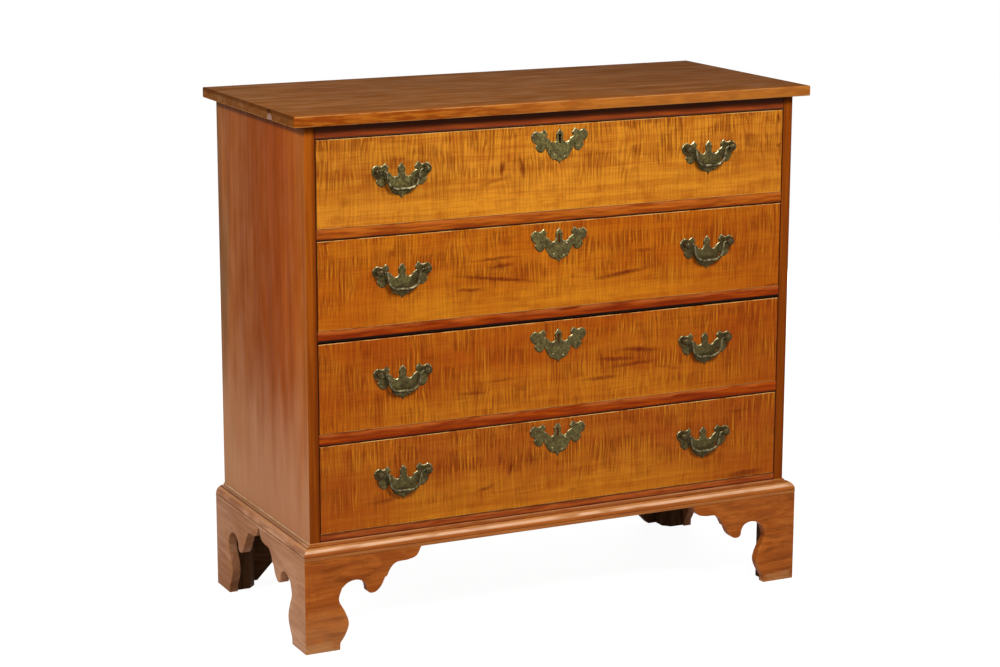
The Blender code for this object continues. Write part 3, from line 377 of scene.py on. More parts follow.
def curled_maple(name, number):
    """Curled maple, scraped and shellacked: gold, with dark bars across the grain and streaks along it.

    Its bars are a real curl's 7 mm apart, and their cells are tall, so that they run straight. They sway over
    about 110 mm, and the marks' edges are ragged over 14 mm. Its fibres are drawn over ten times as coarse as
    real ones, to show.
    """
    made, tree = fresh(name)
    low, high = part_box(f"drawer_{number}_front")
    reach, vivid, redness = CURLS[number]
    spot, parts = object_parts(tree)
    place = add(tree, "VectorMath", {0: spot, 1: (number * 1.37, 0.0, number * 0.83)}, operation="ADD")
    drift = add(tree, "TexNoise", {"Vector": place, "Scale": 9.0, "Detail": 1.0}, out="Color")
    bent = add(tree, "VectorMath", {0: drift, 1: (0.016, 0.0, 0.010), 2: place}, operation="MULTIPLY_ADD")
    curl = WOODS.curl_spacing / MM
    cell = (curl * 0.38, 44, 90)
    bars = streaks(tree, bent, cell, 0.48, 0.60, 1.0)
    lit_bars = streaks(tree, bent, cell, 0.47, 0.38, 1.0)
    fine_bars = streaks(tree, bent, (curl * 0.25, 26, 44), 0.50, 0.60, 1.0)
    wander = streaks(tree, bent, (26, 44, 110), 0.2, 0.8)
    turns = add(tree, "Math", {0: parts[0], 1: 2 * math.pi / WOODS.curl_spacing}, operation="MULTIPLY")
    turns = add(tree, "Math", {0: wander, 1: 11.0, 2: turns}, operation="MULTIPLY_ADD")
    wave = add(tree, "Math", {0: turns}, operation="SINE")
    comb = add(tree, "MapRange", {0: wave, 1: 0.0, 2: 0.8}, interpolation_type="SMOOTHSTEP")
    fibres = streaks(tree, place, (60, 1.3, 1.3), 0.42, 0.70)
    bands = streaks(tree, bent, (240, 9, 9), 0.42, 0.66, 3.0)
    patches = streaks(tree, place, (56, 34, 34), 0.44, 0.60)
    glow = streaks(tree, place, (170, 60, 60), 0.36, 0.64, 1.5)
    dull = streaks(tree, place, (34, 26, 26), 0.50, 0.72, 3.0)
    edge = high.z - (high.z - low.z) * reach
    upper = add(tree, "MapRange", {0: parts[2], 1: edge - 25 * MM, 2: edge + 35 * MM, 3: 0.30, 4: 1.0})
    zone = strength(tree, [add(tree, "MapRange", {0: patches, 3: 0.22, 4: 1.0}), upper])
    combed = strength(tree, [add(tree, "MapRange", {0: patches, 3: 0.55, 4: 1.0}), upper])

    dark, light, red = WOODS.front_dark, WOODS.front_light, WOODS.front_red
    base = getattr(WOODS, f"front_{number}")
    off = add(tree, "Math", {0: parts[0]}, operation="ABSOLUTE")
    columns = streaks(tree, bent, (15, 90, 90), 0.42, 0.62, 1.0)
    layers = [
        (glow, 0.32, light), ((parts[2], high.z - 60 * MM, low.z + 20 * MM), (off, 0.44, 0.20), 0.40, light),
        ((off, 0.20, 0.44), 0.6 * redness, red), ((parts[0], 0.15, 0.44), 0.6 * redness, red),
        (bands, 0.34, red), (dull, 0.40, red), (columns, upper, 0.30, red),
        (fibres, 0.24, dark), (lit_bars, zone, 0.60 * vivid, light), (fine_bars, zone, 0.66 * vivid, dark),
        (comb, combed, 0.80 * vivid, dark), (bars, zone, 0.54 * vivid, dark),
    ]
    paint = coats(tree, rgba(base), layers)

    marks = None
    ragged = add(tree, "TexNoise", {"Vector": place, "Scale": 70.0, "Detail": 2.0}, out="Color")
    ragged = add(tree, "VectorMath", {0: ragged, 1: (0.5, 0.5, 0.5)}, operation="SUBTRACT")
    ragged = add(tree, "VectorMath", {0: ragged, 1: (0.012, 0.0, 0.005), 2: spot}, operation="MULTIPLY_ADD")
    for x, z, length, thickness, tilt, force in FRONT_MARKS[number]:
        settings = {0: ragged, 1: (x * MM, low.y, z * MM), 2: (0.0, -math.radians(tilt), 0.0)}
        settings[3] = (length / 2 * MM, 1.0, thickness / 2 * MM)
        local = add(tree, "Mapping", settings, vector_type="TEXTURE")
        away = add(tree, "VectorMath", {0: local}, out="Value", operation="LENGTH")
        mark = strength(tree, [(away, 1.25, 0.25), force])
        marks = add(tree, "Math", {0: marks, 1: mark}, operation="MAXIMUM") if marks else mark
    crossed = add(tree, "MapRange", {0: fine_bars, 3: 1.0, 4: 0.55})
    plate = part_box(f"drawer_{number}_escutcheon")[0].z + PLATE_TIP * MM
    # Painted shade: the wood behind the keyhole is darkened as if the keyhole were bored deep, and the
    # front's edges in the gaps round the drawer are darkened
    behind_keyhole = ((off, 5 * MM, 4 * MM), (parts[2], plate - MM, plate),
                      (parts[2], plate + 20 * MM, plate + 19 * MM))
    unfinished = (parts[1], FACE + 5 * MM, FACE + 9 * MM)
    gap = ((parts[1], FACE + 0.8 * MM, FACE + 1.3 * MM), (parts[1], FACE + 8 * MM, FACE + 4 * MM))
    paint = coats(tree, paint, [
        (*behind_keyhole, 0.85, WOODS.grime_and_shade), (marks, crossed, 0.9, "641C04"), (unfinished, 0.7, "B48A54"),
        (*gap, 0.9, WOODS.grime_and_shade),
    ])
    paint = arrises(tree, place, paint, WOODS.worn_front)
    height = add(tree, "Math", {0: bars, 1: 0.8, 2: fibres}, operation="MULTIPLY_ADD")
    return close_wood(made, tree, paint, height, 0.36, patches, 0.06, 0.15)


def case_maple(name):
    """Plain maple, planed and shellacked: red-brown streaks, orange at the front, paler low down.

    It carries a painted shadow under the top's overhang, and painted shade in the gaps beside the drawers.
    The stiles are the sides' front edges, darker at their inner arris; the right one is darker along its
    outer arris with painted shade.
    """
    made, tree = fresh(name)
    place = board_space(tree, "Z")
    spot, parts = object_parts(tree)
    drift = streaks(tree, place, (260, 40, 40), 0.2, 0.8)
    long = streaks(tree, place, (420, 16, 16), 0.38, 0.62, 3.0)
    fine = streaks(tree, place, (130, 3.2, 3.2), 0.40, 0.66)
    fibres = streaks(tree, place, (60, 1.4, 1.4), 0.40, 0.68)
    blotch = streaks(tree, place, (80, 40, 40), 0.34, 0.66)
    across = add(tree, "Math", {0: drift, 1: 0.06, 2: parts[1]}, operation="MULTIPLY_ADD")
    across = add(tree, "MapRange", {0: across, 1: FACE + 30 * MM, 2: CASE_REAR + 30 * MM})
    # Colours across the side, from its front edge to its rear one
    zones = (
        (0.0, "B06221"), (0.09, "AE5713"), (0.26, "A04704"), (0.50, "90420C"), (0.66, "965022"),
        (0.86, "A45E2E"), (1.0, "84603A"),
    )
    paint = add(tree, "ValToRGB", {0: across}, stops=zones)
    layers = [(long, 0.34, WOODS.side_dark), (blotch, 0.16, WOODS.side_dark), (fine, 0.20, WOODS.side_light)]
    paint = coats(tree, paint, layers + [(fibres, 0.16, WOODS.side_dark)])
    level = add(tree, "Math", {0: drift, 1: 0.14, 2: parts[2]}, operation="MULTIPLY_ADD")
    paler_low_down = strength(tree, [(level, 0.60, 0.30)])
    # Painted shadow of the top's overhang: hollow on the stiles, under_top on the sides
    hollow = strength(tree, [(parts[2], CASE_TOP - 14 * MM, CASE_TOP - 3 * MM)])
    under_top = (parts[2], CASE_TOP - 20 * MM, CASE_TOP - 13 * MM)
    paint = coats(tree, paint, [(paler_low_down, 0.62, "C6906A"), (under_top, 0.72, WOODS.grime_and_shade)])

    stile = strength(tree, [(parts[1], FACE + 1.4 * MM, FACE + 0.4 * MM)])
    off = add(tree, "Math", {0: parts[0]}, operation="ABSOLUTE")
    left, right = (parts[0], 0.1, -0.1), (parts[0], -0.1, 0.1)
    edge = coats(tree, rgba(WOODS.stile_light), [
        (long, 0.5, WOODS.stile_dark), (fine, 0.4, WOODS.stile_dark),
        ((off, HALF_CASE - 13 * MM, HALF_CASE - 18 * MM), left, 0.6, WOODS.stile_dark),
        # painted shade in the gap at the stiles' inner edge
        ((off, HALF_CASE - 17.8 * MM, HALF_CASE - 18.4 * MM), 0.85, WOODS.grime_and_shade),
        # painted shade along the right stile's outer arris
        ((off, HALF_CASE - 6 * MM, HALF_CASE), right, 0.60, WOODS.stile_dark),
        ((parts[2], 0.72, 0.38), 0.35, WOODS.stile_dark), (right, 0.32, WOODS.stile_dark),
        (hollow, 0.7, WOODS.grime_and_shade),
    ])
    paint = add(tree, "Mix", {0: stile, 6: paint, 7: edge}, 2, data_type="RGBA")
    # Painted shade in the gaps beside the drawers
    inside = (off, HALF_CASE - 17 * MM, HALF_CASE - 18 * MM)
    behind = (parts[1], FACE + 0.8 * MM, FACE + 1.3 * MM)
    paint = coats(tree, paint, [(inside, behind, 0.8, WOODS.grime_and_shade)])
    paint = arrises(tree, place, paint, WOODS.worn)
    height = add(tree, "Math", {0: fibres, 1: long}, operation="ADD")
    return close_wood(made, tree, paint, height, 0.46, blotch, 0.012, 0.2)


def top_tones(tree, place, paint):
    """The top is dull and hazed, with scuffs to the left, and redder and brighter along its front edge.

    Its left end is dark along the upper arris, most of all above the chip.
    """
    parts = object_parts(tree)[1]
    wander = streaks(tree, place, (120, 30, 30), 0.2, 0.8)
    front = add(tree, "Math", {0: wander, 1: 22 * MM, 2: parts[1]}, operation="MULTIPLY_ADD")
    front = strength(tree, [(front, TOP_LOW.y + 52 * MM, TOP_LOW.y + 18 * MM)])
    haze = streaks(tree, place, (90, 16, 16), 0.46, 0.70, 3.0)
    scuffs = streaks(tree, place, (60, 3, 3), 0.60, 0.74)
    scuffs = strength(tree, [scuffs, (parts[0], 0.05, -0.30)])
    end = strength(tree, [(parts[0], TOP_LOW.x + 2.4 * MM, TOP_LOW.x + 1.2 * MM)])
    dent = ((parts[1], -95 * MM, -102 * MM), (parts[1], -120 * MM, -113 * MM))
    face = strength(tree, [(parts[1], TOP_LOW.y + 1.6 * MM, TOP_LOW.y + 0.6 * MM)])
    lit = streaks(tree, place, (44, 12, 7), 0.40, 0.64, 3.0)
    lighter = strength(tree, [(parts[0], -0.30, 0.20)])
    return coats(tree, paint, [
        (haze, 0.35, "8C6A4A"), (scuffs, 0.34, "AA8C70"), (front, 0.72, "884C1C"),
        ((parts[0], 0.10, 0.40), 0.26, WOODS.top_dark), (end, 0.2, WOODS.top_dark),
        (end, (parts[2], TOP_HIGH.z - 8 * MM, TOP_HIGH.z - 4 * MM), 0.55, "4A2008"),
        (end, *dent, (parts[2], TOP_HIGH.z - 9 * MM, TOP_HIGH.z - 6 * MM), 0.6, WOODS.grime_and_shade),
        (face, 0.85, "883A08"), (face, lit, 0.55, "C07222"), (face, lighter, 0.45, "BE7A34"),
    ])


def rail_tones(tree, place, paint):
    """Rails carry a painted highlight in patches along their upper edge, painted shade over their lower part
    and a dark line of it along their lower edge, and a painted shadow, nearly black, under the top's
    overhang.

    The gap under the second divider is the widest, and reads as a black line of painted shade. Painted shade
    also darkens the gaps under the lowest drawer and above the moulding, and the rails' faces behind the
    fronts.
    """
    across = object_parts(tree, "Generated")[1][2]
    _, (_, depth, level) = object_parts(tree)
    upper = strength(tree, [(across, 0.50, 0.85), streaks(tree, place, (50, 9, 9))])
    long = streaks(tree, place, (70, 6, 5), 0.40, 0.62, 3.0)
    bright = strength(tree, [(level, 0.60, 0.70), (level, 0.84, 0.80)])
    bottom = (level, MOULDING_HIGH.z + 36 * MM, MOULDING_HIGH.z + 24 * MM)
    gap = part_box("drawer_frame_2")[0].z
    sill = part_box("bottom_frame")[1].z
    # upper is a painted highlight; the lower part, the gap lines, the overhang band and the faces behind the
    # fronts are painted shade
    return coats(tree, paint, [
        (bright, 0.55, "C8701C"), (bottom, 0.30, "B8703A"), (long, 0.62, WOODS.rail_dark),
        ((across, 0.45, 0.05), 0.40, WOODS.rail_dark), ((across, 0.15, 0.07), 0.85, WOODS.grime_and_shade),
        ((level, gap + 4.4 * MM, gap + 3.2 * MM), (level, gap - 3 * MM, gap - 2 * MM), 0.97, "120602"),
        (upper, 0.55, "C66A2C"), ((level, 0.84, 0.87), 0.08, "A87C54"),
        ((level, sill - 2.2 * MM, sill - 0.8 * MM), (level, sill + 6 * MM, sill + 4 * MM), 0.75, WOODS.grime_and_shade),
        ((level, MOULDING_HIGH.z + 3.2 * MM, MOULDING_HIGH.z + 1.4 * MM), 0.75, WOODS.grime_and_shade),
        ((level, CASE_TOP - 20 * MM, CASE_TOP - 7 * MM), 0.92, WOODS.grime_and_shade),
        ((depth, FACE + 0.5 * MM, FACE + MM), (depth, FACE + 16 * MM, FACE + 6 * MM), 0.85, WOODS.grime_and_shade),
        ((depth, FACE + 8 * MM, FACE + 20 * MM), 0.6, "9A7048"),
    ])


def moulding_share(tree):
    """How far up the moulding a point is, from 0 to 1, and the painted shade in its two creases."""
    share = add(tree, "MapRange", {0: object_parts(tree)[1][2], 1: MOULDING_LOW.z, 2: MOULDING_HIGH.z})
    creases = ((0.235, 0.275, 0.315), (0.77, 0.815, 0.86))
    stops = [(0.0, "000000")]
    for below, middle, above in creases:
        stops += [(below, "000000"), (middle, "FFFFFF"), (above, "000000")]
    return share, add(tree, "ValToRGB", {0: share}, stops=stops)


def moulding_tones(tree, place, paint):
    """Painted shade lies in the two creases of the moulding, mostly the upper, and a painted highlight runs
    along its top fillet and its round.
    """
    share, creases = moulding_share(tree)
    patchy = streaks(tree, place, (70, 20, 20), 0.30, 0.56)
    lines = streaks(tree, place, (110, 2, 2), 0.42, 0.60)
    # Painted highlight on the top fillet and on the round, painted shade in the creases; the thin lines are
    # grain
    return coats(tree, paint, [
        ((share, 0.27, 0.22), 0.30, "C08A52"), ((share, 0.86, 0.90), patchy, 0.45, "D8A078"),
        ((share, 0.80, 0.76), (share, 0.42, 0.56), 0.50, "CC9860"), (lines, 0.45, "86441C"),
        ((share, 0.48, 0.56), (share, 0.72, 0.66), patchy, 0.8, "E8B894"),
        (creases, (share, 0.15, 0.60), 0.45, WOODS.grime_and_shade), (creases, 0.45, WOODS.grime_and_shade),
    ])


def flank_moulding_tones(tree, place, paint):
    """The side mouldings are dull: a pale line on top as a painted highlight, then a brown, smeared round,
    painted lighter above and darker below as shading, with painted shade in the creases.
    """
    share, creases = moulding_share(tree)
    smear = streaks(tree, place, (50, 9, 9), 0.40, 0.62, 3.0)
    return coats(tree, paint, [
        ((share, 0.80, 0.60), smear, 0.50, "7A4630"), ((share, 0.30, 0.20), 0.45, "B8805A"),
        ((share, 0.62, 0.74), 0.30, "C09068"), (creases, 0.85, WOODS.grime_and_shade),
        ((share, 0.93, 0.97), 0.60, "D8CAA8"),
    ])


def base_tones(tree, place, paint):
    """Brackets are paler along their soles and low on the left foot with painted light thrown up from the
    floor, and smeared with old finish.
    """
    parts = object_parts(tree)[1]
    drift = streaks(tree, place, (34, 12, 12), 0.2, 0.8)
    level = add(tree, "Math", {0: drift, 1: 16 * MM, 2: parts[2]}, operation="MULTIPLY_ADD")
    sole = strength(tree, [(level, 24 * MM, 12 * MM)])
    foot = strength(tree, [(level, 95 * MM, 45 * MM), (parts[0], 0.1, -0.1)])
    smear = streaks(tree, place, (50, 9, 9), 0.52, 0.66, 3.0)
    warm = streaks(tree, place, (40, 18, 18), 0.54, 0.66)
    layers = [(foot, 0.30, "C88C58"), (warm, 0.35, "C8702C"), (smear, 0.38, "662E0C")]
    return coats(tree, paint, layers + [(sole, 0.55, "CC9460")])


def flank_tones(tree, place, paint):
    """The side brackets have lost most of their finish: dull and even, with faint smears."""
    smear = streaks(tree, place, (60, 12, 12), 0.52, 0.70, 3.0)
    along = object_parts(tree)[1][1]
    return coats(tree, paint, [
        (smear, 0.35, "8E5638"), ((along, -0.10, 0.12), 0.34, "8E5632"),
        ((along, 0.0, -0.16), 0.22, "DCA884"),
    ])


def pine_tones(tree, place, paint):
    """Dirt in the saw marks of unfinished pine, and in the joint between the two back boards."""
    smear = streaks(tree, place, (110, 26, 26), 0.50, 0.74, 3.0)
    saw = streaks(tree, place, (5, 60, 60), 0.48, 0.62, 1.0)
    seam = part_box("back_board_upper")[0].z
    _, (_, depth, level) = object_parts(tree)
    joint = ((depth, CASE_REAR - 30 * MM, CASE_REAR - 28 * MM), (level, seam + 3.0 * MM, seam + 1.5 * MM),
             (level, seam - 3.0 * MM, seam - 1.5 * MM))
    return coats(tree, paint, [(saw, 0.07, "3C2412"), (smear, 0.35, "3C2412"), (*joint, 0.8, WOODS.grime_and_shade)])


def cast_brass(name, skin_colour, hollow_colour, rubbed):
    """Cast brass under an old skin of wax and tarnish: dull green-brown, bare on the filed edges, which carry
    painted highlights above and painted shade below.

    The skin is partly oxide, so it scatters light where bare metal mirrors it. Its mottle is drawn a few
    times coarser than the real one, to show.
    """
    made, tree = fresh(name)
    hollow = getattr(BRASS, hollow_colour)
    place, (across, _, level) = object_parts(tree)
    cloud = streaks(tree, place, (9,) * 3, 0.36, 0.66, 3.0)
    pits = streaks(tree, place, (1.2,) * 3, 0.56, 0.74)
    flagged, dirt_and_shade = wear_mark(tree)
    spread = add(tree, "VectorMath", {0: place, 1: (0.37, 0.11, 0.23)}, operation="ADD")
    # More rubbed metal shows on pieces higher up
    higher_up = add(tree, "MapRange", {0: level, 1: 0.55, 2: 0.80, 3: 0.55, 4: 1.0})
    bare = add(tree, "Math", {0: flagged, 1: 0.0}, operation="MAXIMUM")
    bare = strength(tree, [bare, streaks(tree, place, (6,) * 3, 0.62, 0.36), higher_up, rubbed])
    paint = coats(tree, rgba(getattr(BRASS, skin_colour)), [
        (streaks(tree, place, (3.6,) * 3, 0.50, 0.60), 0.6, "8E8450"), (cloud, 0.7, hollow),
        (streaks(tree, spread, (3.2,) * 3, 0.52, 0.62), 0.62, "1C170C"), (pits, 0.30, "46583E"),
        # darker lower down and to the right
        ((level, 0.78, 0.60), 0.40, hollow), ((across, 0.05, 0.30), 0.36, hollow),
        # painted shade and dirt where marked below 0; rubbed metal and painted highlights where marked above
        # 0
        (dirt_and_shade, 1.0, "1A140A"), (bare, 1.0, BRASS.rubbed),
    ])
    gloss = add(tree, "MapRange", {0: cloud, 3: 0.38, 4: 0.52})
    metal = add(tree, "MapRange", {0: bare, 3: 0.55, 4: 1.0})
    return close_metal(made, tree, paint, metal, gloss, 0.12, pits, 0.15)


def close_metal(made, tree, paint, metal, gloss, specular, height, relief):
    """Joins colour, metallic, roughness, specular level and relief into the surface of one metal."""
    normal = add(tree, "Bump", {"Strength": relief, "Distance": 0.2 * MM, "Height": height}, out="Normal")
    settings = {"Base Color": paint, "Metallic": metal, "Roughness": gloss, "Normal": normal}
    settings["Specular IOR Level"] = specular
    add(tree, "OutputMaterial", {"Surface": add(tree, "BsdfPrincipled", settings)})
    return made


def forged_iron(name):
    """Forged iron, blackened and a little rusty: dark, rough, brown in the pits."""
    made, tree = fresh(name)
    place = object_parts(tree)[0]
    rust = streaks(tree, place, (4,) * 3, 0.42, 0.66, 3.0)
    paint = coats(tree, rgba(BRASS.iron), [(rust, 1.0, "5A3420"), (wear_mark(tree)[0], 0.6, "8C867C")])
    gloss = add(tree, "MapRange", {0: rust, 3: 0.42, 4: 0.70})
    return close_metal(made, tree, paint, 0.9, gloss, 0.5, rust, 0.4)


# Of each finish: the function that makes it, and the settings that the function asks for after the name
LOOKS = {
    # Maple, planed and long waxed: dull brown, with faint bands
    "maple_top_waxed": (timber, "X", "top", 13, 1.6, 0.58, 0.002, 0.15, 0.0, top_tones),
    # Maple, torn where the top was chipped: pale, dirty and rough
    "maple_broken_bare": (timber, "X", "broken", 4, 1.2, 0.7, 0.1, 0.5, 0.0, None),
    "maple_case_shellacked": (case_maple,),
    # Maple, planed, stained and shellacked: a red-brown satin with long streaks
    "maple_rail_shellacked": (timber, "X", "rail", 6, 1.4, 0.40, 0.06, 0.2, 0.0, rail_tones),
    # Maple, run with a moulding plane and shellacked: satin at the front, faded and dull at the sides
    "maple_moulding_front": (timber, "X", "base", 8, 1.4, 0.40, 0.06, 0.2, 0.0, moulding_tones),
    "maple_moulding_side": (timber, "Y", "flank", 8, 1.4, 0.45, 0.02, 0.2, 0.0, flank_moulding_tones),
    # Maple, planed, sawn to its scroll and shellacked: the same, with a little curl at the front
    "maple_bracket_front": (timber, "X", "base", 8, 1.4, 0.42, 0.06, 0.2, 0.25, base_tones),
    "maple_bracket_side": (timber, "Y", "flank", 10, 1.4, 0.50, 0.02, 0.2, 0.0, flank_tones),
    # Tulip poplar, planed and left bare: pale and matt, with greenish bands
    "poplar_planed_x": (timber, "X", "lining", 12, 1.0, 0.62, 0.2, 0.3, 0.0, None),
    "poplar_planed_y": (timber, "Y", "lining", 12, 1.0, 0.62, 0.2, 0.3, 0.0, None),
    # White pine, sawn and left bare: browned by air, matt and rough, with broad bands
    "pine_sawn_x": (timber, "X", "pine", 14, 2.2, 0.72, 0.1, 0.5, 0.0, pine_tones),
    # Offcuts of white pine, sawn, and dark with a floor's dirt
    "pine_block_x": (timber, "X", "block", 8, 1.1, 0.75, 0.1, 0.5, 0.0, pine_tones),
    "pine_block_z": (timber, "Z", "block", 8, 1.1, 0.75, 0.1, 0.5, 0.0, pine_tones),
    # Brass, cast and filed: the plates under their old skin, the darker posts and bails that hands keep
    # greasy, and the pins with their rubbed heads
    "brass_cast_patinated": (cast_brass, "patina", "patina_dark", 0.9),
    "brass_cast_handled": (cast_brass, "handled", "patina_dark", 0.9),
    "brass_pin_rubbed": (cast_brass, "rubbed", "patina", 1.0),
    "iron_forged": (forged_iron,),
}
for drawer in DRAWERS:
    LOOKS[f"curled_maple_shellacked_{drawer}"] = (curled_maple, drawer)


def look(name):
    """The finish of that name, made the first time it is asked for."""
    maker, *settings = LOOKS[name]
    return bpy.data.materials.get(name) or maker(name, *settings)


# Shape tools

def wear_layer(shape):
    layer = shape.faces.layers.float.get("wear")
    return layer or shape.faces.layers.float.new("wear")


def cleaned(node):
    """A CAD node's shape with its points joined and its flat faces whole."""
    shape = bmesh.new()
    shape.from_mesh(frame["nodes"][node].data)
    bmesh.ops.remove_doubles(shape, verts=shape.verts, dist=WELD)
    bmesh.ops.dissolve_limit(shape, angle_limit=FLAT, verts=shape.verts, edges=shape.edges)
    bmesh.ops.recalc_face_normals(shape, faces=shape.faces)
    return shape


def ease(shape, width, pick=None, segments=2, wear=1.0):
    """Rounds the sharp outer edges and marks the new faces by a number or a function of the face: above 0 for
    wear and painted highlights, below 0 for dirt and painted shade.
    """
    layer = wear_layer(shape)
    edges = [e for e in shape.edges if e.is_manifold and e.is_convex and e.calc_face_angle() > SHARP]
    edges = [e for e in edges if not pick or pick(e)]
    made = bmesh.ops.bevel(
        shape, geom=edges, offset=width, segments=segments, profile=0.5, affect="EDGES", clamp_overlap=True)
    for face in made["faces"]:
        face[layer] = wear(face) if callable(wear) else wear
    return shape


def prism(outline, place, thickness, mitre=False):
    """A board cut to an outline of (out, height); place(out, depth, height) gives each point.

    Depth 0 is its show face. With mitre, the end at out = 0 is cut back by the thickness.
    """
    shape = bmesh.new()
    wear_layer(shape)
    rings = []
    for depth in (0.0, thickness):
        ring = []
        for out, z in outline:
            back = depth if mitre and out == 0 else 0.0
            ring.append(shape.verts.new(place(out + back, depth, z)))
        rings.append(ring)
    shape.faces.new(rings[0])
    shape.faces.new(list(reversed(rings[1])))
    count = len(outline)
    for i in range(count):
        j = (i + 1) % count
        shape.faces.new((rings[0][j], rings[0][i], rings[1][i], rings[1][j]))
    bmesh.ops.recalc_face_normals(shape, faces=shape.faces)
    return shape


def block(low, high):
    """A box between two corners."""
    outline = [(low[0], low[2]), (high[0], low[2]), (high[0], high[2]), (low[0], high[2])]
    return prism(outline, lambda u, d, z: (u, low[1] + d, z), high[1] - low[1])


def skin(rings, wear=None):
    """A closed surface through rings of points; wear gives each strip from ring to ring its mark."""
    shape = bmesh.new()
    layer = wear_layer(shape)
    made = [[shape.verts.new(point) for point in ring] for ring in rings]
    count = len(made[0])
    for first, second in zip(made, made[1:]):
        for i in range(count):
            j = (i + 1) % count
            face = shape.faces.new((first[i], first[j], second[j], second[i]))
            face[layer] = wear[i] if wear else 0.0
    shape.faces.new(list(reversed(made[0])))
    shape.faces.new(made[-1])
    bmesh.ops.recalc_face_normals(shape, faces=shape.faces)
    return shape


def turned(profile, centre, sides, wear=()):
    """A piece turned along Y from (along, radius) in millimetres; the strips listed in wear are rubbed.

    A tip's radius of 0 is drawn as 0.02 mm, so that its ring keeps its points apart.
    """
    rings = []
    circle = [(math.cos(2 * math.pi * i / sides), math.sin(2 * math.pi * i / sides)) for i in range(sides)]
    for along, radius in profile:
        radius = max(radius, 0.02) * MM
        rings.append([Vector((radius * u, along * MM, radius * v)) + centre for u, v in circle])
    shape = skin(rings)
    layer = wear_layer(shape)
    shape.faces.ensure_lookup_table()
    for strip in wear:
        for i in range(sides):
            shape.faces[strip * sides + i][layer] = 1.0
    return shape


def joined(shapes):
    """Several shapes as one, kept apart."""
    whole = bmesh.new()
    for shape in shapes:
        spare = bpy.data.meshes.new("spare")
        shape.to_mesh(spare)
        shape.free()
        whole.from_mesh(spare)
        bpy.data.meshes.remove(spare)
    return whole


def smooth_line(points, steps):
    """Points on a smooth curve through the given ones, `steps` spans between each two."""
    ends = [2 * points[0] - points[1], *points, 2 * points[-1] - points[-2]]
    made = []
    for before, a, b, after in zip(ends, ends[1:], ends[2:], ends[3:]):
        for k in range(steps):
            t = k / steps
            bend = a * 2 + (b - before) * t
            bend += (before * 2 - a * 5 + b * 4 - after) * t * t
            bend += (a * 3 - before - b * 3 + after) * t ** 3
            made.append(bend / 2)
    return made + [points[-1]]


def drawn(stretches, steps, wide=MM, high=MM):
    """The outline through all stretches at its real size, without the last point."""
    made = []
    for stretch in stretches:
        points = [Vector((u * wide, v * high)) for u, v in stretch]
        made += smooth_line(points, steps if len(points) > 2 else 1)[:-1]
    return made


def put(name, shape, body, finish, replaced=(), smooth_below=None):
    """Makes the shape a piece that rides on a body and stands for CAD nodes.

    Where its faces turn by less than smooth_below degrees, it is shaded as one surface.
    """
    mesh = bpy.data.meshes.new(name)
    shape.to_mesh(mesh)
    shape.free()
    if smooth_below:
        mesh.shade_smooth()
        mesh.set_sharp_from_angle(angle=math.radians(smooth_below))
    item = bpy.data.objects.new(name, mesh)
    bpy.context.scene.collection.objects.link(item)
    mesh.materials.append(look(finish))
    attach(item, body)
    if replaced:
        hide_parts(*replaced)
    return item


def carve(item, shape, finish):
    """Cuts a shape out of a piece; the cut faces take the finish of that name."""
    mesh = bpy.data.meshes.new("cutter")
    shape.to_mesh(mesh)
    shape.free()
    mesh.materials.append(look(finish))
    cutter = bpy.data.objects.new("cutter", mesh)
    bpy.context.scene.collection.objects.link(cutter)
    cut = item.modifiers.new("cut", "BOOLEAN")
    cut.operation = "DIFFERENCE"
    cut.object = cutter
    cut.solver = "EXACT"
    cut.material_mode = "TRANSFER"
    bpy.context.view_layer.update()
    result = bpy.data.meshes.new_from_object(item.evaluated_get(bpy.context.evaluated_depsgraph_get()))
    item.modifiers.clear()
    item.data = result
    bpy.data.objects.remove(cutter)
    bpy.data.meshes.remove(mesh)


def keep_node(node, finish, width):
    """Gives a CAD node that stays its finish, and eases its arrises by modifiers."""
    item = frame["nodes"][node]
    if not item.material_slots:
        item.data.materials.append(None)
    for slot in item.material_slots:
        slot.link = "OBJECT"
        slot.material = look(finish)
    weld = item.modifiers.new("join points", "WELD")
    weld.merge_threshold = WELD
    flat = item.modifiers.new("whole faces", "DECIMATE")
    flat.decimate_type = "DISSOLVE"
    flat.angle_limit = FLAT
    arris = item.modifiers.new("arris", "BEVEL")
    arris.width = width
    arris.segments = 2
    arris.limit_method = "ANGLE"
    arris.angle_limit = math.radians(30)


# Operators

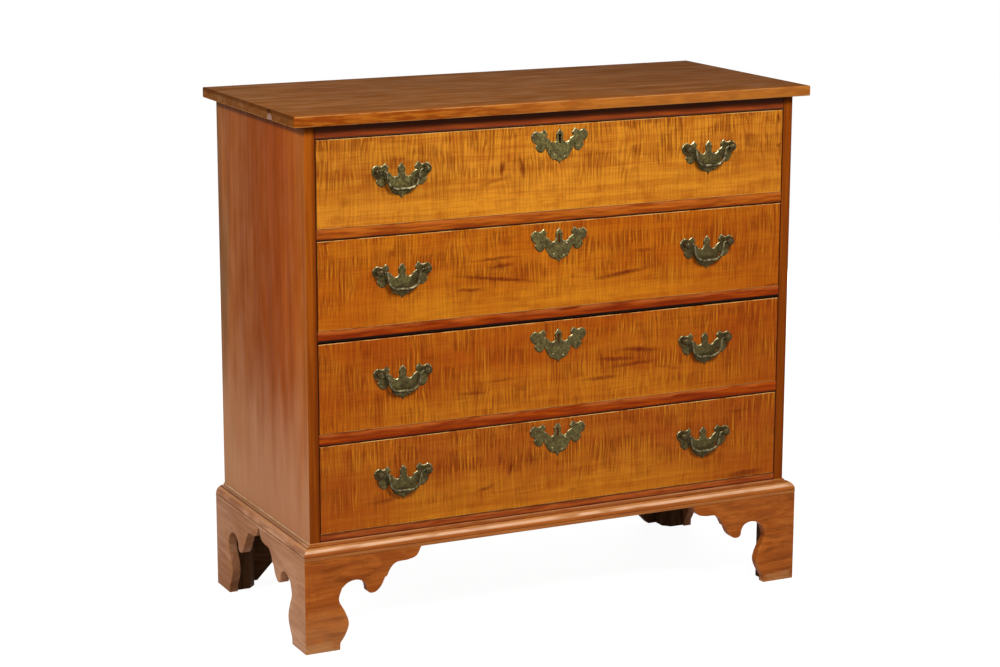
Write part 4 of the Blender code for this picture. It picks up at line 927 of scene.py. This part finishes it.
class CHEST_OT_studio(bpy.types.Operator):
    """Camera, lamps, paper floor and surroundings"""
    bl_idname = "chest.studio"
    bl_label = "Studio"

    paper_glow = 0.95
    paper_reach = 30.0
    # (name, place, what it is aimed at, width and height in metres, the setting of its power)
    lamps = (
        ("front_softbox", (0.0, -2.5, 2.75), (0.0, -0.1, 0.50), (0.9, 0.7), "key_power"),
        ("left_softbox", (-3.0, -0.4, 1.9), (-0.4, 0.0, 0.55), (1.2, 1.2), "side_power"),
        ("rear_softbox", (1.8, 2.6, 0.42), (0.2, 0.2, 0.55), (1.2, 0.5), "rear_power"),
    )

    def execute(self, context):
        studio = context.scene.chest_studio
        self.place_camera(context, studio)
        self.lay_floor(context, studio)
        self.light(context, studio)
        context.scene.view_settings.view_transform = "Standard"
        return {"FINISHED"}

    def place_camera(self, context, studio):
        yaw, pitch, roll = studio.camera_yaw, studio.camera_pitch, studio.camera_roll
        right = Vector((math.cos(yaw), -math.sin(yaw), 0.0))
        ahead = Vector((math.sin(yaw) * math.cos(pitch), math.cos(yaw) * math.cos(pitch), -math.sin(pitch)))
        up = right.cross(ahead)
        x_axis = right * math.cos(roll) + up * math.sin(roll)
        y_axis = up * math.cos(roll) - right * math.sin(roll)
        turn = Matrix((x_axis, y_axis, -ahead)).transposed().to_4x4()
        lens = bpy.data.cameras.new("camera")
        lens.sensor_width = 36.0
        lens.lens = studio.lens
        camera = bpy.data.objects.new("camera", lens)
        context.scene.collection.objects.link(camera)
        camera.matrix_world = Matrix.Translation(studio.camera_place) @ turn
        context.scene.camera = camera

    def lay_floor(self, context, studio):
        """Seamless paper: plain matt for the light, and white wherever it is seen straight or in a gloss."""
        made, tree = fresh("paper_floor_matt")
        matt = add(tree, "BsdfDiffuse", {"Color": rgba(studio.floor)})
        glow = add(tree, "Emission", {"Color": rgba("FFFFFF"), "Strength": self.paper_glow})
        faint = add(tree, "BsdfDiffuse", {"Color": rgba((0.16, 0.16, 0.16))})
        white = add(tree, "AddShader", {0: glow, 1: faint})
        mixed = add(tree, "MixShader", {0: self.seen(tree), 1: matt, 2: white})
        add(tree, "OutputMaterial", {"Surface": mixed})
        shape = bmesh.new()
        reach = self.paper_reach
        corners = ((-reach, -reach), (reach, -reach), (reach, reach), (-reach, reach))
        shape.faces.new([shape.verts.new((x, y, 0.0)) for x, y in corners])
        mesh = bpy.data.meshes.new("floor")
        shape.to_mesh(mesh)
        shape.free()
        mesh.materials.append(made)
        floor = bpy.data.objects.new("floor", mesh)
        context.scene.collection.objects.link(floor)

    def seen(self, tree):
        """1 for a ray from the camera, off a gloss or through glass."""
        path = add(tree, "LightPath").node.outputs
        seen = add(tree, "Math", {0: path["Is Camera Ray"], 1: path["Is Glossy Ray"]}, operation="MAXIMUM")
        return add(tree, "Math", {0: seen, 1: path["Is Transmission Ray"]}, operation="MAXIMUM")

    def light(self, context, studio):
        """Three softboxes in surroundings that light evenly and are seen as white."""
        world = bpy.data.worlds.new("surroundings")
        context.scene.world = world
        world.use_nodes = True
        tree = world.node_tree
        tree.nodes.clear()
        around = add(tree, "Background", {"Color": rgba("FFFFFF"), "Strength": studio.sky})
        white = add(tree, "Background", {"Color": rgba("FFFFFF"), "Strength": 1.0})
        mixed = add(tree, "MixShader", {0: self.seen(tree), 1: around, 2: white})
        add(tree, "OutputWorld", {"Surface": mixed})
        for name, place, aim, spread, power in self.lamps:
            lamp = bpy.data.lights.new(name, "AREA")
            lamp.shape = "RECTANGLE"
            lamp.size, lamp.size_y = spread
            lamp.energy = getattr(studio, power)
            item = bpy.data.objects.new(name, lamp)
            context.scene.collection.objects.link(item)
            item.location = place
            item.rotation_euler = (Vector(aim) - Vector(place)).to_track_quat("-Z", "Y").to_euler()


class CHEST_OT_top(bpy.types.Operator):
    """Overhanging top board with rubbed arrises and a chip in its left end"""
    bl_idname = "chest.top"
    bl_label = "Top board"

    chip_middle = -0.111
    chip_half = 11 * MM
    chip_depth = 3.0 * MM
    # (up from the board's underside, further in) in millimetres
    chip_levels = ((-1.0, 1.8), (5.0, -0.2), (12.5, -2.2))

    def rubbing(self, face):
        """The front and back arrises are rubbed; the ends' lower ones are rubbed and carry painted light
        thrown up from the floor, and the ends' upper ones are darkened.
        """
        if abs(face.normal.x) < 0.2:
            return 1.0
        return -0.3 if face.normal.z > 0.2 else 0.9 if face.normal.z < -0.2 else 0.0

    def chip(self):
        """A ragged wedge to cut out, which reaches furthest in at the board's underside."""
        draw = random.Random(7)
        outside = TOP_LOW.x - 4 * MM
        plan = [(outside, self.chip_middle - self.chip_half - MM)]
        spans = 10
        for i in range(spans + 1):
            along = self.chip_half * (2 * i / spans - 1)
            deep = self.chip_depth * math.sin(math.pi * i / spans) * draw.uniform(0.55, 1.0)
            plan.append((TOP_LOW.x + deep, self.chip_middle + along))
        plan.append((outside, self.chip_middle + self.chip_half + MM))
        rings = []
        for up, lean in self.chip_levels:
            z = TOP_LOW.z + up * MM
            rings.append([Vector((x + (lean * MM if x > TOP_LOW.x else 0.0), y, z)) for x, y in plan])
        return skin(rings)

    def execute(self, context):
        shape = ease(cleaned("top_board"), WOODS.top_arris, segments=3, wear=self.rubbing)
        item = put("top_board_waxed", shape, "case", "maple_top_waxed", ("top_board",), 40)
        carve(item, self.chip(), "maple_broken_bare")
        return {"FINISHED"}


class CHEST_OT_sides(bpy.types.Operator):
    """Case sides, with rubbed front and back arrises"""
    bl_idname = "chest.sides"
    bl_label = "Case sides"

    def execute(self, context):
        for name, side in SIDES:
            def upright(edge):
                """Whether an edge runs up the outer face's front or back."""
                a, b = (v.co for v in edge.verts)
                outside = all(abs(p.x - side * HALF_CASE) < MM for p in (a, b))
                return outside and abs(a.z - b.z) > 0.1

            node = f"{name}_side"
            shape = ease(cleaned(node), WOODS.arris, upright, segments=3, wear=0.15)
            put(f"{node}_shellacked", shape, "case", "maple_case_shellacked", (node,))
        return {"FINISHED"}


class CHEST_OT_rails(bpy.types.Operator):
    """Front rails and dividers with the runners behind them"""
    bl_idname = "chest.rails"
    bl_label = "Rails"

    def rubbing(self, face):
        """Upper arrises are rubbed, and lower ones darkened with painted shade."""
        return 0.3 if face.normal.z > 0 else -0.7

    def execute(self, context):
        for node in ("top_frame", "drawer_frame_1", "drawer_frame_2", "drawer_frame_3", "bottom_frame"):
            shape = ease(cleaned(node), WOODS.arris * 0.6, wear=self.rubbing)
            put(f"{node}_shellacked", shape, "case", "maple_rail_shellacked", (node,))
        return {"FINISHED"}


class CHEST_OT_mouldings(bpy.types.Operator):
    """Quarter-round base mouldings, mitred at the front corners"""
    bl_idname = "chest.mouldings"
    bl_label = "Base mouldings"

    # (out from the case, above the moulding's foot) in millimetres, and how rubbed the strip after it is
    profile = (
        (0.3, 0.0, 0.0), (0.3, 26.1, 0.15), (1.6, 26.1, 0.9), (2.2, 25.5, 0.3), (2.2, 21.6, 0.0),
        (3.3, 21.5, 0.0),
    )
    foot = ((17.5, 7.9, 0.0), (16.9, 7.4, 0.0), (17.5, 6.9, 0.1), (17.5, 0.8, 0.8), (16.7, 0.0, 0.0))
    round_radius = 15.3
    round_base = (2.2, 7.4)
    front_spans = 44
    side_spans = 22
    mitre_gap = 0.4

    def points(self):
        """The profile with its round drawn finely, and marked for a painted highlight where it faces mostly
        up.
        """
        made = list(self.profile)
        for degrees in range(6, 89, 7):
            angle = math.radians(degrees)
            out = self.round_base[0] + self.round_radius * math.sin(angle)
            up = self.round_base[1] + self.round_radius * math.cos(angle)
            made.append((out, up, 0.55 if 20 < degrees < 45 else 0.08))
        return made + list(self.foot)

    def wavered(self, out, along):
        """How far out a point is, in metres, planed by hand: 0.08 mm out from its line to 0.24 mm in."""
        waver = 0.16 * noise.noise(Vector((along * 9, 0.3, out))) + 0.08
        return (out - waver * (out > 1.0)) * MM

    def run(self, name, spans, place, finish):
        """A moulding through spans + 1 profiles; place(share of its length, out, up) gives each point."""
        points = self.points()
        rings = [[place(k / spans, out, MOULDING_LOW.z + up * MM) for out, up, _ in points]
                 for k in range(spans + 1)]
        shape = skin(rings, [rubbed for _, _, rubbed in points])
        put(f"{name}_moulding_planed", shape, "case", finish, (f"{name}_moulding",), 32)

    def execute(self, context):
        def front(share, out, z):
            x = (2 * share - 1) * (HALF_CASE + out * MM)
            return (x, FACE - self.wavered(out, x), z)

        self.run("front", self.front_spans, front, "maple_moulding_front")
        for name, side in SIDES:
            def flank(share, out, z):
                start = FACE - (out - self.mitre_gap) * MM
                y = start + share * (CASE_REAR - start)
                return (side * (HALF_CASE + self.wavered(out, y + side)), y, z)

            self.run(name, self.side_spans, flank, "maple_moulding_side")
        return {"FINISHED"}


class CHEST_OT_feet(bpy.types.Operator):
    """Scrolled bracket feet with the blocks and strips behind them"""
    bl_idname = "chest.feet"
    bl_label = "Bracket feet"

    # Thickness of the scrolled brackets and of the plain rear ones, and how far in a rear one reaches at the
    # floor and at its upper edge
    bracket = 16.0 * MM
    rear_bracket = 18.0 * MM
    rear_foot = 72.0 * MM
    rear_reach = 236.0 * MM
    # Sides of the corner block and of the glue strips, and how far in a strip reaches
    post = 40.0 * MM
    chamfer = 14.0 * MM
    strip = 18.0 * MM
    strip_reach = 176.0 * MM

    def scroll(self, length):
        """The outline of a bracket of this length, stretched to the frame's size."""
        points = drawn(SCROLL_STRETCHES, 6, length / SCROLL_SIZE[0], FOOT_HEIGHT / SCROLL_SIZE[1])
        return [(0.0, 0.0), *(tuple(point) for point in points), (length, FOOT_HEIGHT), (0.0, FOOT_HEIGHT)]

    def execute(self, context):
        for end in ("front", "rear"):
            for name, side in SIDES:
                self.build(end, name, side)
        return {"FINISHED"}

    def build(self, end, name, side):
        node = f"{end}_{name}_foot"
        low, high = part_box(node)
        corner = Vector((low.x if side < 0 else high.x, low.y if end == "front" else high.y))
        inward = 1 if end == "front" else -1
        across = self.bracket if end == "front" else self.rear_bracket

        def at_side(out, depth, z):
            return (corner.x - side * depth, corner.y + inward * out, z)

        def at_front(out, depth, z):
            return (corner.x - side * out, corner.y + inward * depth, z)

        def on_show(place, axis):
            shown = place(0, 0, 0)[axis]
            return lambda edge: all(abs(v.co[axis] - shown) < SAME for v in edge.verts) and not all(
                v.co.z > FOOT_HEIGHT - SAME for v in edge.verts)

        mitred = end == "front"
        shape = prism(self.scroll(high.y - low.y), at_side, self.bracket, mitred)
        ease(shape, WOODS.arris * 0.75, on_show(at_side, 0), wear=0.7)
        put(f"{node}_side_bracket", shape, "case", "maple_bracket_side", (node,), 32)
        if mitred:
            shape = prism(self.scroll(high.x - low.x), at_front, self.bracket, True)
            ease(shape, WOODS.arris * 0.75, on_show(at_front, 1), wear=0.7)
            put(f"{node}_front_bracket", shape, "case", "maple_bracket_front", (node,), 32)
        else:
            outline = [(self.bracket, 0.0), (self.rear_foot, 0.0), (self.rear_reach, FOOT_HEIGHT)]
            shape = prism(outline + [(self.bracket, FOOT_HEIGHT)], at_front, across)
            ease(shape, WOODS.arris * 0.5, wear=0.3)
            put(f"{node}_rear_bracket", shape, "case", "pine_block_x", (node,))
        x_in, y_in = self.bracket, across
        x_out, y_out = self.bracket + self.post, across + self.post
        plan = [(x_in, y_in), (x_out, y_in), (x_out, y_out - self.chamfer), (x_out - self.chamfer, y_out)]
        plan.append((x_in, y_out))
        plan = [(corner.x - side * u, corner.y + inward * v) for u, v in plan]
        shape = prism(plan, lambda u, d, v: (u, v, d), FOOT_HEIGHT)
        ease(shape, 0.8 * MM, wear=0.2)
        put(f"{node}_block", shape, "case", "pine_block_z", (node,))
        z0 = FOOT_HEIGHT - self.strip
        spans = (
            ("cross_strip", (x_out, y_in), (self.strip_reach, across + self.strip)),
            ("side_strip", (x_in, y_out), (self.bracket + self.strip, self.strip_reach)),
        )
        for label, first, second in spans:
            xs = sorted((corner.x - side * first[0], corner.x - side * second[0]))
            ys = sorted((corner.y + inward * first[1], corner.y + inward * second[1]))
            shape = ease(block((xs[0], ys[0], z0), (xs[1], ys[1], FOOT_HEIGHT)), 0.8 * MM, wear=0.2)
            put(f"{node}_{label}", shape, "case", "pine_block_x", (node,))


class CHEST_OT_carcase(bpy.types.Operator):
    """Bottom board, back boards and the nails that hold the back"""
    bl_idname = "chest.carcase"
    bl_label = "Back and bottom"

    nail_step: FloatProperty(
        name="Nail spacing", description="From nail to nail along a board", default=0.118, unit="LENGTH")
    nails_up = 4
    # Of the nails: how far in they sit from the boards' ends, from the upper edge and from the lower one
    end_inset = 9 * MM
    upper_inset = 12 * MM
    lower_inset = 10 * MM
    # Half the width and height of a head
    nail_half = (1.9 * MM, 2.9 * MM)

    def execute(self, context):
        keep_node("bottom_board", "pine_sawn_x", 0.8 * MM)
        heads = []
        draw = random.Random(11)
        for node in ("back_board_lower", "back_board_upper"):
            keep_node(node, "pine_sawn_x", 1.0 * MM)
            low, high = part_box(node)
            wide, tall = high.x - low.x, high.z - low.z
            places = []
            for x in (low.x + self.end_inset, high.x - self.end_inset):
                places += [(x, low.z + tall * (i + 0.5) / self.nails_up) for i in range(self.nails_up)]
            count = int(wide / self.nail_step)
            level = high.z - self.upper_inset if node.endswith("upper") else low.z + self.lower_inset
            places += [(low.x + wide * i / count, level) for i in range(1, count)]
            for x, z in places:
                x += draw.uniform(-2, 2) * MM
                z += draw.uniform(-3, 3) * MM
                heads.append(self.head(x, high.y, z, draw))
        put("back_nails_cut", joined(heads), "case", "iron_forged", (), 30)
        return {"FINISHED"}

    def head(self, x, y, z, draw):
        """A cut nail's small oblong head, sunk flush with the board."""
        wide, tall = (half * draw.uniform(0.85, 1.1) for half in self.nail_half)
        shape = block((x - wide, y - 1.6 * MM, z - tall), (x + wide, y - 0.02 * MM, z + tall))
        return ease(shape, 0.35 * MM, wear=0.5)


class CHEST_OT_fronts(bpy.types.Operator):
    """Drawer fronts of curled maple"""
    bl_idname = "chest.fronts"
    bl_label = "Drawer fronts"

    def rubbing(self, face):
        """The upper and lower arrises are rubbed bare, and the upright ones, beside the gaps, are darkened
        with painted shade.
        """
        return 1.0 if abs(face.normal.z) > 0.3 else -0.8

    def execute(self, context):
        for number in DRAWERS:
            node = f"drawer_{number}_front"
            low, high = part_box(node)
            sides = ((0, low.x), (0, high.x), (2, low.z), (2, high.z))

            def rim(edge):
                """Whether an edge is one of the four round the show face, and not a bore's."""
                def runs_at(axis, place):
                    return all(abs(v.co[axis] - place) < SAME for v in edge.verts)

                return runs_at(1, FACE) and any(runs_at(axis, place) for axis, place in sides)

            shape = ease(cleaned(node), WOODS.arris, rim, wear=self.rubbing)
            finish = f"curled_maple_shellacked_{number}"
            put(f"{node}_curled", shape, f"drawer_{number}", finish, (node,))
        return {"FINISHED"}


class CHEST_OT_linings(bpy.types.Operator):
    """Drawer sides, backs and bottoms, with the nails at the back"""
    bl_idname = "chest.linings"
    bl_label = "Drawer linings"

    grains = {"left_side": "y", "right_side": "y", "back": "x", "bottom": "x"}
    nails = 5
    # Half the width and depth of a nail's head, its thickness, and where it sits from the bottom's rear edge
    # and above the bottom's underside
    nail_half = (1.6 * MM, 2.4 * MM)
    nail_head = 1.2 * MM
    nail_inset = 9 * MM
    nail_rise = 3.4 * MM

    def execute(self, context):
        wide, deep = self.nail_half
        for number in DRAWERS:
            for part, grain in self.grains.items():
                keep_node(f"drawer_{number}_{part}", f"poplar_planed_{grain}", 0.5 * MM)
            low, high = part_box(f"drawer_{number}_bottom")
            y, z = high.y - self.nail_inset, low.z + self.nail_rise
            heads = []
            for i in range(self.nails):
                x = low.x + (high.x - low.x) * (i + 0.5) / self.nails
                shape = block((x - wide, y - deep, z), (x + wide, y + deep, z + self.nail_head))
                heads.append(ease(shape, 0.3 * MM, wear=0.5))
            name = f"drawer_{number}_bottom_nails"
            put(name, joined(heads), f"drawer_{number}", "iron_forged")
        return {"FINISHED"}


def plate_shape(x, z):
    """A cast batwing plate with a filed edge, round its centre on the drawer's face.

    The filed edge is inset from the outline, by at most one and a half bevels at a sharp corner.
    """
    right = drawn(PLATE_STRETCHES, 5)
    half = [tuple(point) for point in right] + [(0.0, -PLATE_TIP * MM)]
    outline = half + [(-u, v) for u, v in reversed(half[1:-1])]
    outline = [Vector((x + u, z + v)) for u, v in outline]
    count = len(outline)
    inset = []
    for i, point in enumerate(outline):
        before = (point - outline[i - 1]).normalized()
        after = (outline[(i + 1) % count] - point).normalized()
        normal = Vector((before.y + after.y, -before.x - after.x))
        normal = normal.normalized() if normal.length > 0.35 else Vector((before.y, -before.x))
        stretch = 1 / max(0.55, math.sqrt(max(0.0, (1 + before.dot(after)) / 2)))
        inset.append(point + normal * BRASS.plate_bevel * min(stretch, 1.5))
    back = FACE - 0.3 * MM
    levels = ((outline, back), (outline, back - 0.6 * MM), (inset, back - 1.4 * MM))
    rings = [[Vector((p.x, y, p.y)) for p in ring] for ring, y in levels]
    shape = skin(rings)
    layer = wear_layer(shape)
    shape.faces.ensure_lookup_table()
    # The walls carry dirt and painted shade, the lower bevels painted shade, and the upper bevels, filed
    # bare, a painted highlight
    for i in range(count):
        shape.faces[i][layer] = -1.0
        bevel = shape.faces[count + i]
        bevel[layer] = 1.0 if bevel.normal.z > 0.15 else -0.6
    return shape


class CHEST_OT_pulls(bpy.types.Operator):
    """Batwing plates with their turned posts and nuts"""
    bl_idname = "chest.pulls"
    bl_label = "Pull plates and posts"

    # (along, radius) in millimetres from the drawer's face: the post's collar
    collar = ((-2.4, 3.4), (-2.1, 4.6), (-1.75, 4.8), (-1.6, 2.2))
    # Round the ball from its front, where its outline is drawn
    head_degrees = (12, 24, 38, 54, 72, 90, 108, 124, 138, 150)
    # (along in millimetres, share of its radius) of the nut with its chamfered edges, and its turn in radians
    nut_turns = ((0.0, 0.92), (0.3, 1.0), (2.7, 1.0), (3.0, 0.92))
    nut_radius = 6.0
    nut_turned = 0.4

    def post(self, place):
        """A post turned in one piece: a ball for a head, a collar, and a shank through the front."""
        radius, stand = BRASS.head_radius / MM, BRASS.head_standoff / MM
        nut = (FRONT_INNER - FACE) / MM + 0.3
        profile = [(-stand - radius, 0.0)]
        for degrees in self.head_degrees:
            angle = math.radians(degrees)
            profile.append((-stand - radius * math.cos(angle), radius * math.sin(angle)))
        profile += [*self.collar, (nut + 5.2, 2.2), (nut + 5.7, 1.6)]
        return turned(profile, Vector((place.x, FACE, place.z)), BRASS.round_sides)

    def nut(self, place):
        """A square nut behind the front."""
        start = FRONT_INNER + 0.3 * MM
        rings = []
        for along, grow in self.nut_turns:
            reach = self.nut_radius * MM * grow
            turn = [math.pi / 2 * i + self.nut_turned for i in range(4)]
            rings.append([(place.x + reach * math.cos(a), start + along * MM, place.z + reach * math.sin(a))
                          for a in turn])
        return skin(rings)

    def execute(self, context):
        for number in DRAWERS:
            for name, _ in SIDES:
                node = f"drawer_{number}_{name}_pull_plate"
                middle = JOINT_PLACES[f"drawer_{number}_{name}_bail"]
                body = f"drawer_{number}"
                centre = Vector((middle.x, 0.0, middle.z - BRASS.post_raise))
                put(f"drawer_{number}_{name}_plate_cast", plate_shape(centre.x, centre.z), body,
                    "brass_cast_patinated", (node,))
                posts = []
                for end in (-1, 1):
                    place = Vector((middle.x + end * BRASS.post_spacing / 2, 0.0, middle.z))
                    posts += [self.post(place), self.nut(place)]
                put(f"drawer_{number}_{name}_posts_turned", joined(posts), body,
                    "brass_cast_handled", (node,), 35)
        return {"FINISHED"}


class CHEST_OT_bails(bpy.types.Operator):
    """Bails, thickest at the grip, swinging on pins in the posts"""
    bl_idname = "chest.bails"
    bl_label = "Bails"

    # From the pins down to the middle of the grip, in millimetres
    drop = 32.0
    sides = 14
    bend_steps = 10
    grip_steps = 6
    # (x, z, rounding) of the right half's corners in millimetres, from the pin's tip
    corners = ((42.1, 0.0, 0.0), (31.0, 0.0, 6.0), (26.0, -32.0, 19.0))
    # (millimetres along the half bail, radius): pin, collar, shoulder, then the swelling grip
    radii = (
        (0.0, 1.5), (5.2, 1.5), (5.8, 2.6), (7.4, 2.6), (8.2, 2.1), (14.0, 2.3), (34.0, 2.9), (62.0, 3.3),
    )

    def half_line(self):
        """The middle line of the right half, from the pin's tip round two bends to the middle of the grip."""
        steps = self.bend_steps
        line = [Vector((x, z)) for x, z, _ in self.corners] + [Vector((0.0, -self.drop))]
        made = [line[0].lerp(line[1], k / steps) for k in range(steps - 1)]
        for i in range(1, len(line) - 1):
            before = (line[i - 1] - line[i]).normalized()
            after = (line[i + 1] - line[i]).normalized()
            turn = before.angle(after)
            radius = self.corners[i][2]
            reach = radius / math.tan(turn / 2)
            middle = line[i] + (before + after).normalized() * radius / math.sin(turn / 2)
            start = (line[i] + before * reach - middle).normalized()
            end = (line[i] + after * reach - middle).normalized()
            made = [p for p in made if (p - line[i]).length > reach * 0.98 or i > 1]
            made += [middle + start.slerp(end, k / steps) * radius for k in range(steps + 1)]
        flat, steps = made[-1].x, self.grip_steps
        return made + [Vector((flat * (1 - k / steps), -self.drop)) for k in range(1, steps + 1)]

    def radius_at(self, along):
        """The bail's radius at this way along its half."""
        for (a, low), (b, high) in zip(self.radii, self.radii[1:]):
            if along <= b:
                share = (along - a) / (b - a)
                return low + (high - low) * share
        return self.radii[-1][1]

    def shape(self, centre):
        """A bail that swings about centre, rubbed and painted with a highlight on top of its grip's front,
        with a fainter painted highlight along its front and painted shade underneath.
        """
        half = self.half_line()
        lengths = [0.0]
        for a, b in zip(half, half[1:]):
            lengths.append(lengths[-1] + (b - a).length)
        widths = [self.radius_at(along) for along in lengths]
        path = half + [Vector((-p.x, p.y)) for p in reversed(half[:-1])]
        widths += list(reversed(widths[:-1]))
        rings = []
        for i, (point, radius) in enumerate(zip(path, widths)):
            ahead = (path[min(i + 1, len(path) - 1)] - path[max(i - 1, 0)]).normalized()
            side = Vector((-ahead.y, ahead.x))
            ring = []
            for k in range(self.sides):
                angle = 2 * math.pi * k / self.sides
                flat = point + side * radius * math.cos(angle)
                ring.append(centre + Vector((flat.x, radius * math.sin(angle), flat.y)) * MM)
            rings.append(ring)
        shape = skin(rings)
        layer = wear_layer(shape)
        # Painted highlight on top of the grip's front and, fainter, along the whole front; painted shade
        # underneath
        for face in shape.faces:
            middle = face.calc_center_median()
            if middle.z < centre.z - 26 * MM and face.normal.y < -0.3 and face.normal.z > 0.5:
                face[layer] = 0.9
            elif face.normal.z < -0.3:
                face[layer] = -0.6
            elif face.normal.y < -0.85:
                face[layer] = 0.4
        return shape

    def execute(self, context):
        for number in DRAWERS:
            for name, _ in SIDES:
                node = f"drawer_{number}_{name}_bail"
                put(f"{node}_cast", self.shape(JOINT_PLACES[node]), node, "brass_cast_handled",
                    (node,), 50)
        return {"FINISHED"}


class CHEST_OT_escutcheons(bpy.types.Operator):
    """Batwing escutcheons with their keyholes and pins"""
    bl_idname = "chest.escutcheons"
    bl_label = "Escutcheons"

    # (along, radius) in millimetres: a pin's domed head and its shank
    pin = (
        (-0.95, 0.0), (-0.85, 0.6), (-0.55, 1.1), (-0.15, 1.4), (0.0, 1.45), (0.05, 0.6), (8.0, 0.3),
    )
    keyhole_radius = 2.8
    keyhole_rise = 14.6

    def keyhole(self, z):
        """Outline (x, z) of the keyhole: a round over a slot."""
        outline = [(-1.7, 1.2), (1.7, 1.2)]
        for degrees in range(-50, 231, 20):
            angle = math.radians(degrees)
            up = self.keyhole_rise + self.keyhole_radius * math.sin(angle)
            outline.append((self.keyhole_radius * math.cos(angle), up))
        return [(u * MM, z + v * MM) for u, v in outline]

    def execute(self, context):
        for number in DRAWERS:
            node, body = f"drawer_{number}_escutcheon", f"drawer_{number}"
            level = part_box(node)[0].z + PLATE_TIP * MM
            finish = "brass_cast_patinated"
            item = put(f"{node}_cast", plate_shape(0.0, level), body, finish, (node,))
            carve(item, prism(self.keyhole(level), lambda u, d, v: (u, FACE - 3 * MM + d, v), 5 * MM), finish)
            pins = []
            for u, v in ESCUTCHEON_PINS:
                place = Vector((u * MM, FACE - 1.6 * MM, level + v * MM))
                pins.append(turned(self.pin, place, 12, wear=(0, 1, 2)))
            put(f"{node}_pins", joined(pins), body, "brass_pin_rubbed", (), 50)
        return {"FINISHED"}


class CHEST_OT_lock(bpy.types.Operator):
    """Till lock behind the top drawer's front, with its screws and bolt"""
    bl_idname = "chest.lock"
    bl_label = "Lock"

    # (along, radius) in millimetres: a screw's domed head
    screw = ((1.1, 0.0), (0.9, 1.6), (0.2, 2.6), (-1.0, 2.4))
    # How far in the screws sit from the lock's ends and lower edge, and from its upper edge
    screw_inset = 6 * MM
    screw_drop = 22 * MM

    def execute(self, context):
        for node, body, rubbed in (("lock_case", "drawer_1", 0.6), ("lock_bolt", "lock_bolt", 0.8)):
            node = f"drawer_1_{node}"
            shape = ease(cleaned(node), 0.5 * MM, wear=rubbed)
            put(f"{node}_forged", shape, body, "iron_forged", (node,))
        low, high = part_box("drawer_1_lock_case")
        screws = []
        inset = self.screw_inset
        for x in (low.x + inset, high.x - inset):
            for z in (low.z + inset, high.z - self.screw_drop):
                screws.append(turned(self.screw, Vector((x, high.y, z)), 14, wear=(0, 1)))
        put("drawer_1_lock_screws", joined(screws), "drawer_1", "iron_forged", (), 40)
        return {"FINISHED"}


MAKERS = (
    CHEST_OT_studio, CHEST_OT_top, CHEST_OT_sides, CHEST_OT_rails, CHEST_OT_mouldings, CHEST_OT_feet,
    CHEST_OT_carcase, CHEST_OT_fronts, CHEST_OT_linings, CHEST_OT_pulls, CHEST_OT_bails,
    CHEST_OT_escutcheons, CHEST_OT_lock,
)


class CHEST_PT_panel(bpy.types.Panel):
    """Lists the chest's makers and its settings"""
    bl_idname = "CHEST_PT_panel"
    bl_label = "Chest"
    bl_space_type = "VIEW_3D"
    bl_region_type = "UI"
    bl_category = "Chest"

    def draw(self, context):
        for maker in MAKERS:
            self.layout.operator(maker.bl_idname)
        for group in (context.scene.chest_woods, context.scene.chest_brass, context.scene.chest_studio):
            for name in group.bl_rna.properties.keys():
                if name not in ("name", "rna_type"):
                    self.layout.prop(group, name)


GROUPS = {"chest_woods": ChestWoods, "chest_brass": ChestBrass, "chest_studio": ChestStudio}


def register():
    for name, group in GROUPS.items():
        bpy.utils.register_class(group)
        setattr(bpy.types.Scene, name, PointerProperty(type=group))
    for maker in MAKERS + (CHEST_PT_panel,):
        bpy.utils.register_class(maker)


def unregister():
    for maker in reversed(MAKERS + (CHEST_PT_panel,)):
        bpy.utils.unregister_class(maker)
    for name, group in GROUPS.items():
        delattr(bpy.types.Scene, name)
        bpy.utils.unregister_class(group)


def main():
    global WOODS, BRASS
    register()
    WOODS = bpy.context.scene.chest_woods
    BRASS = bpy.context.scene.chest_brass
    for maker in MAKERS:
        group, name = maker.bl_idname.split(".")
        getattr(getattr(bpy.ops, group), name)()


if __name__ == "__main__":
    main()
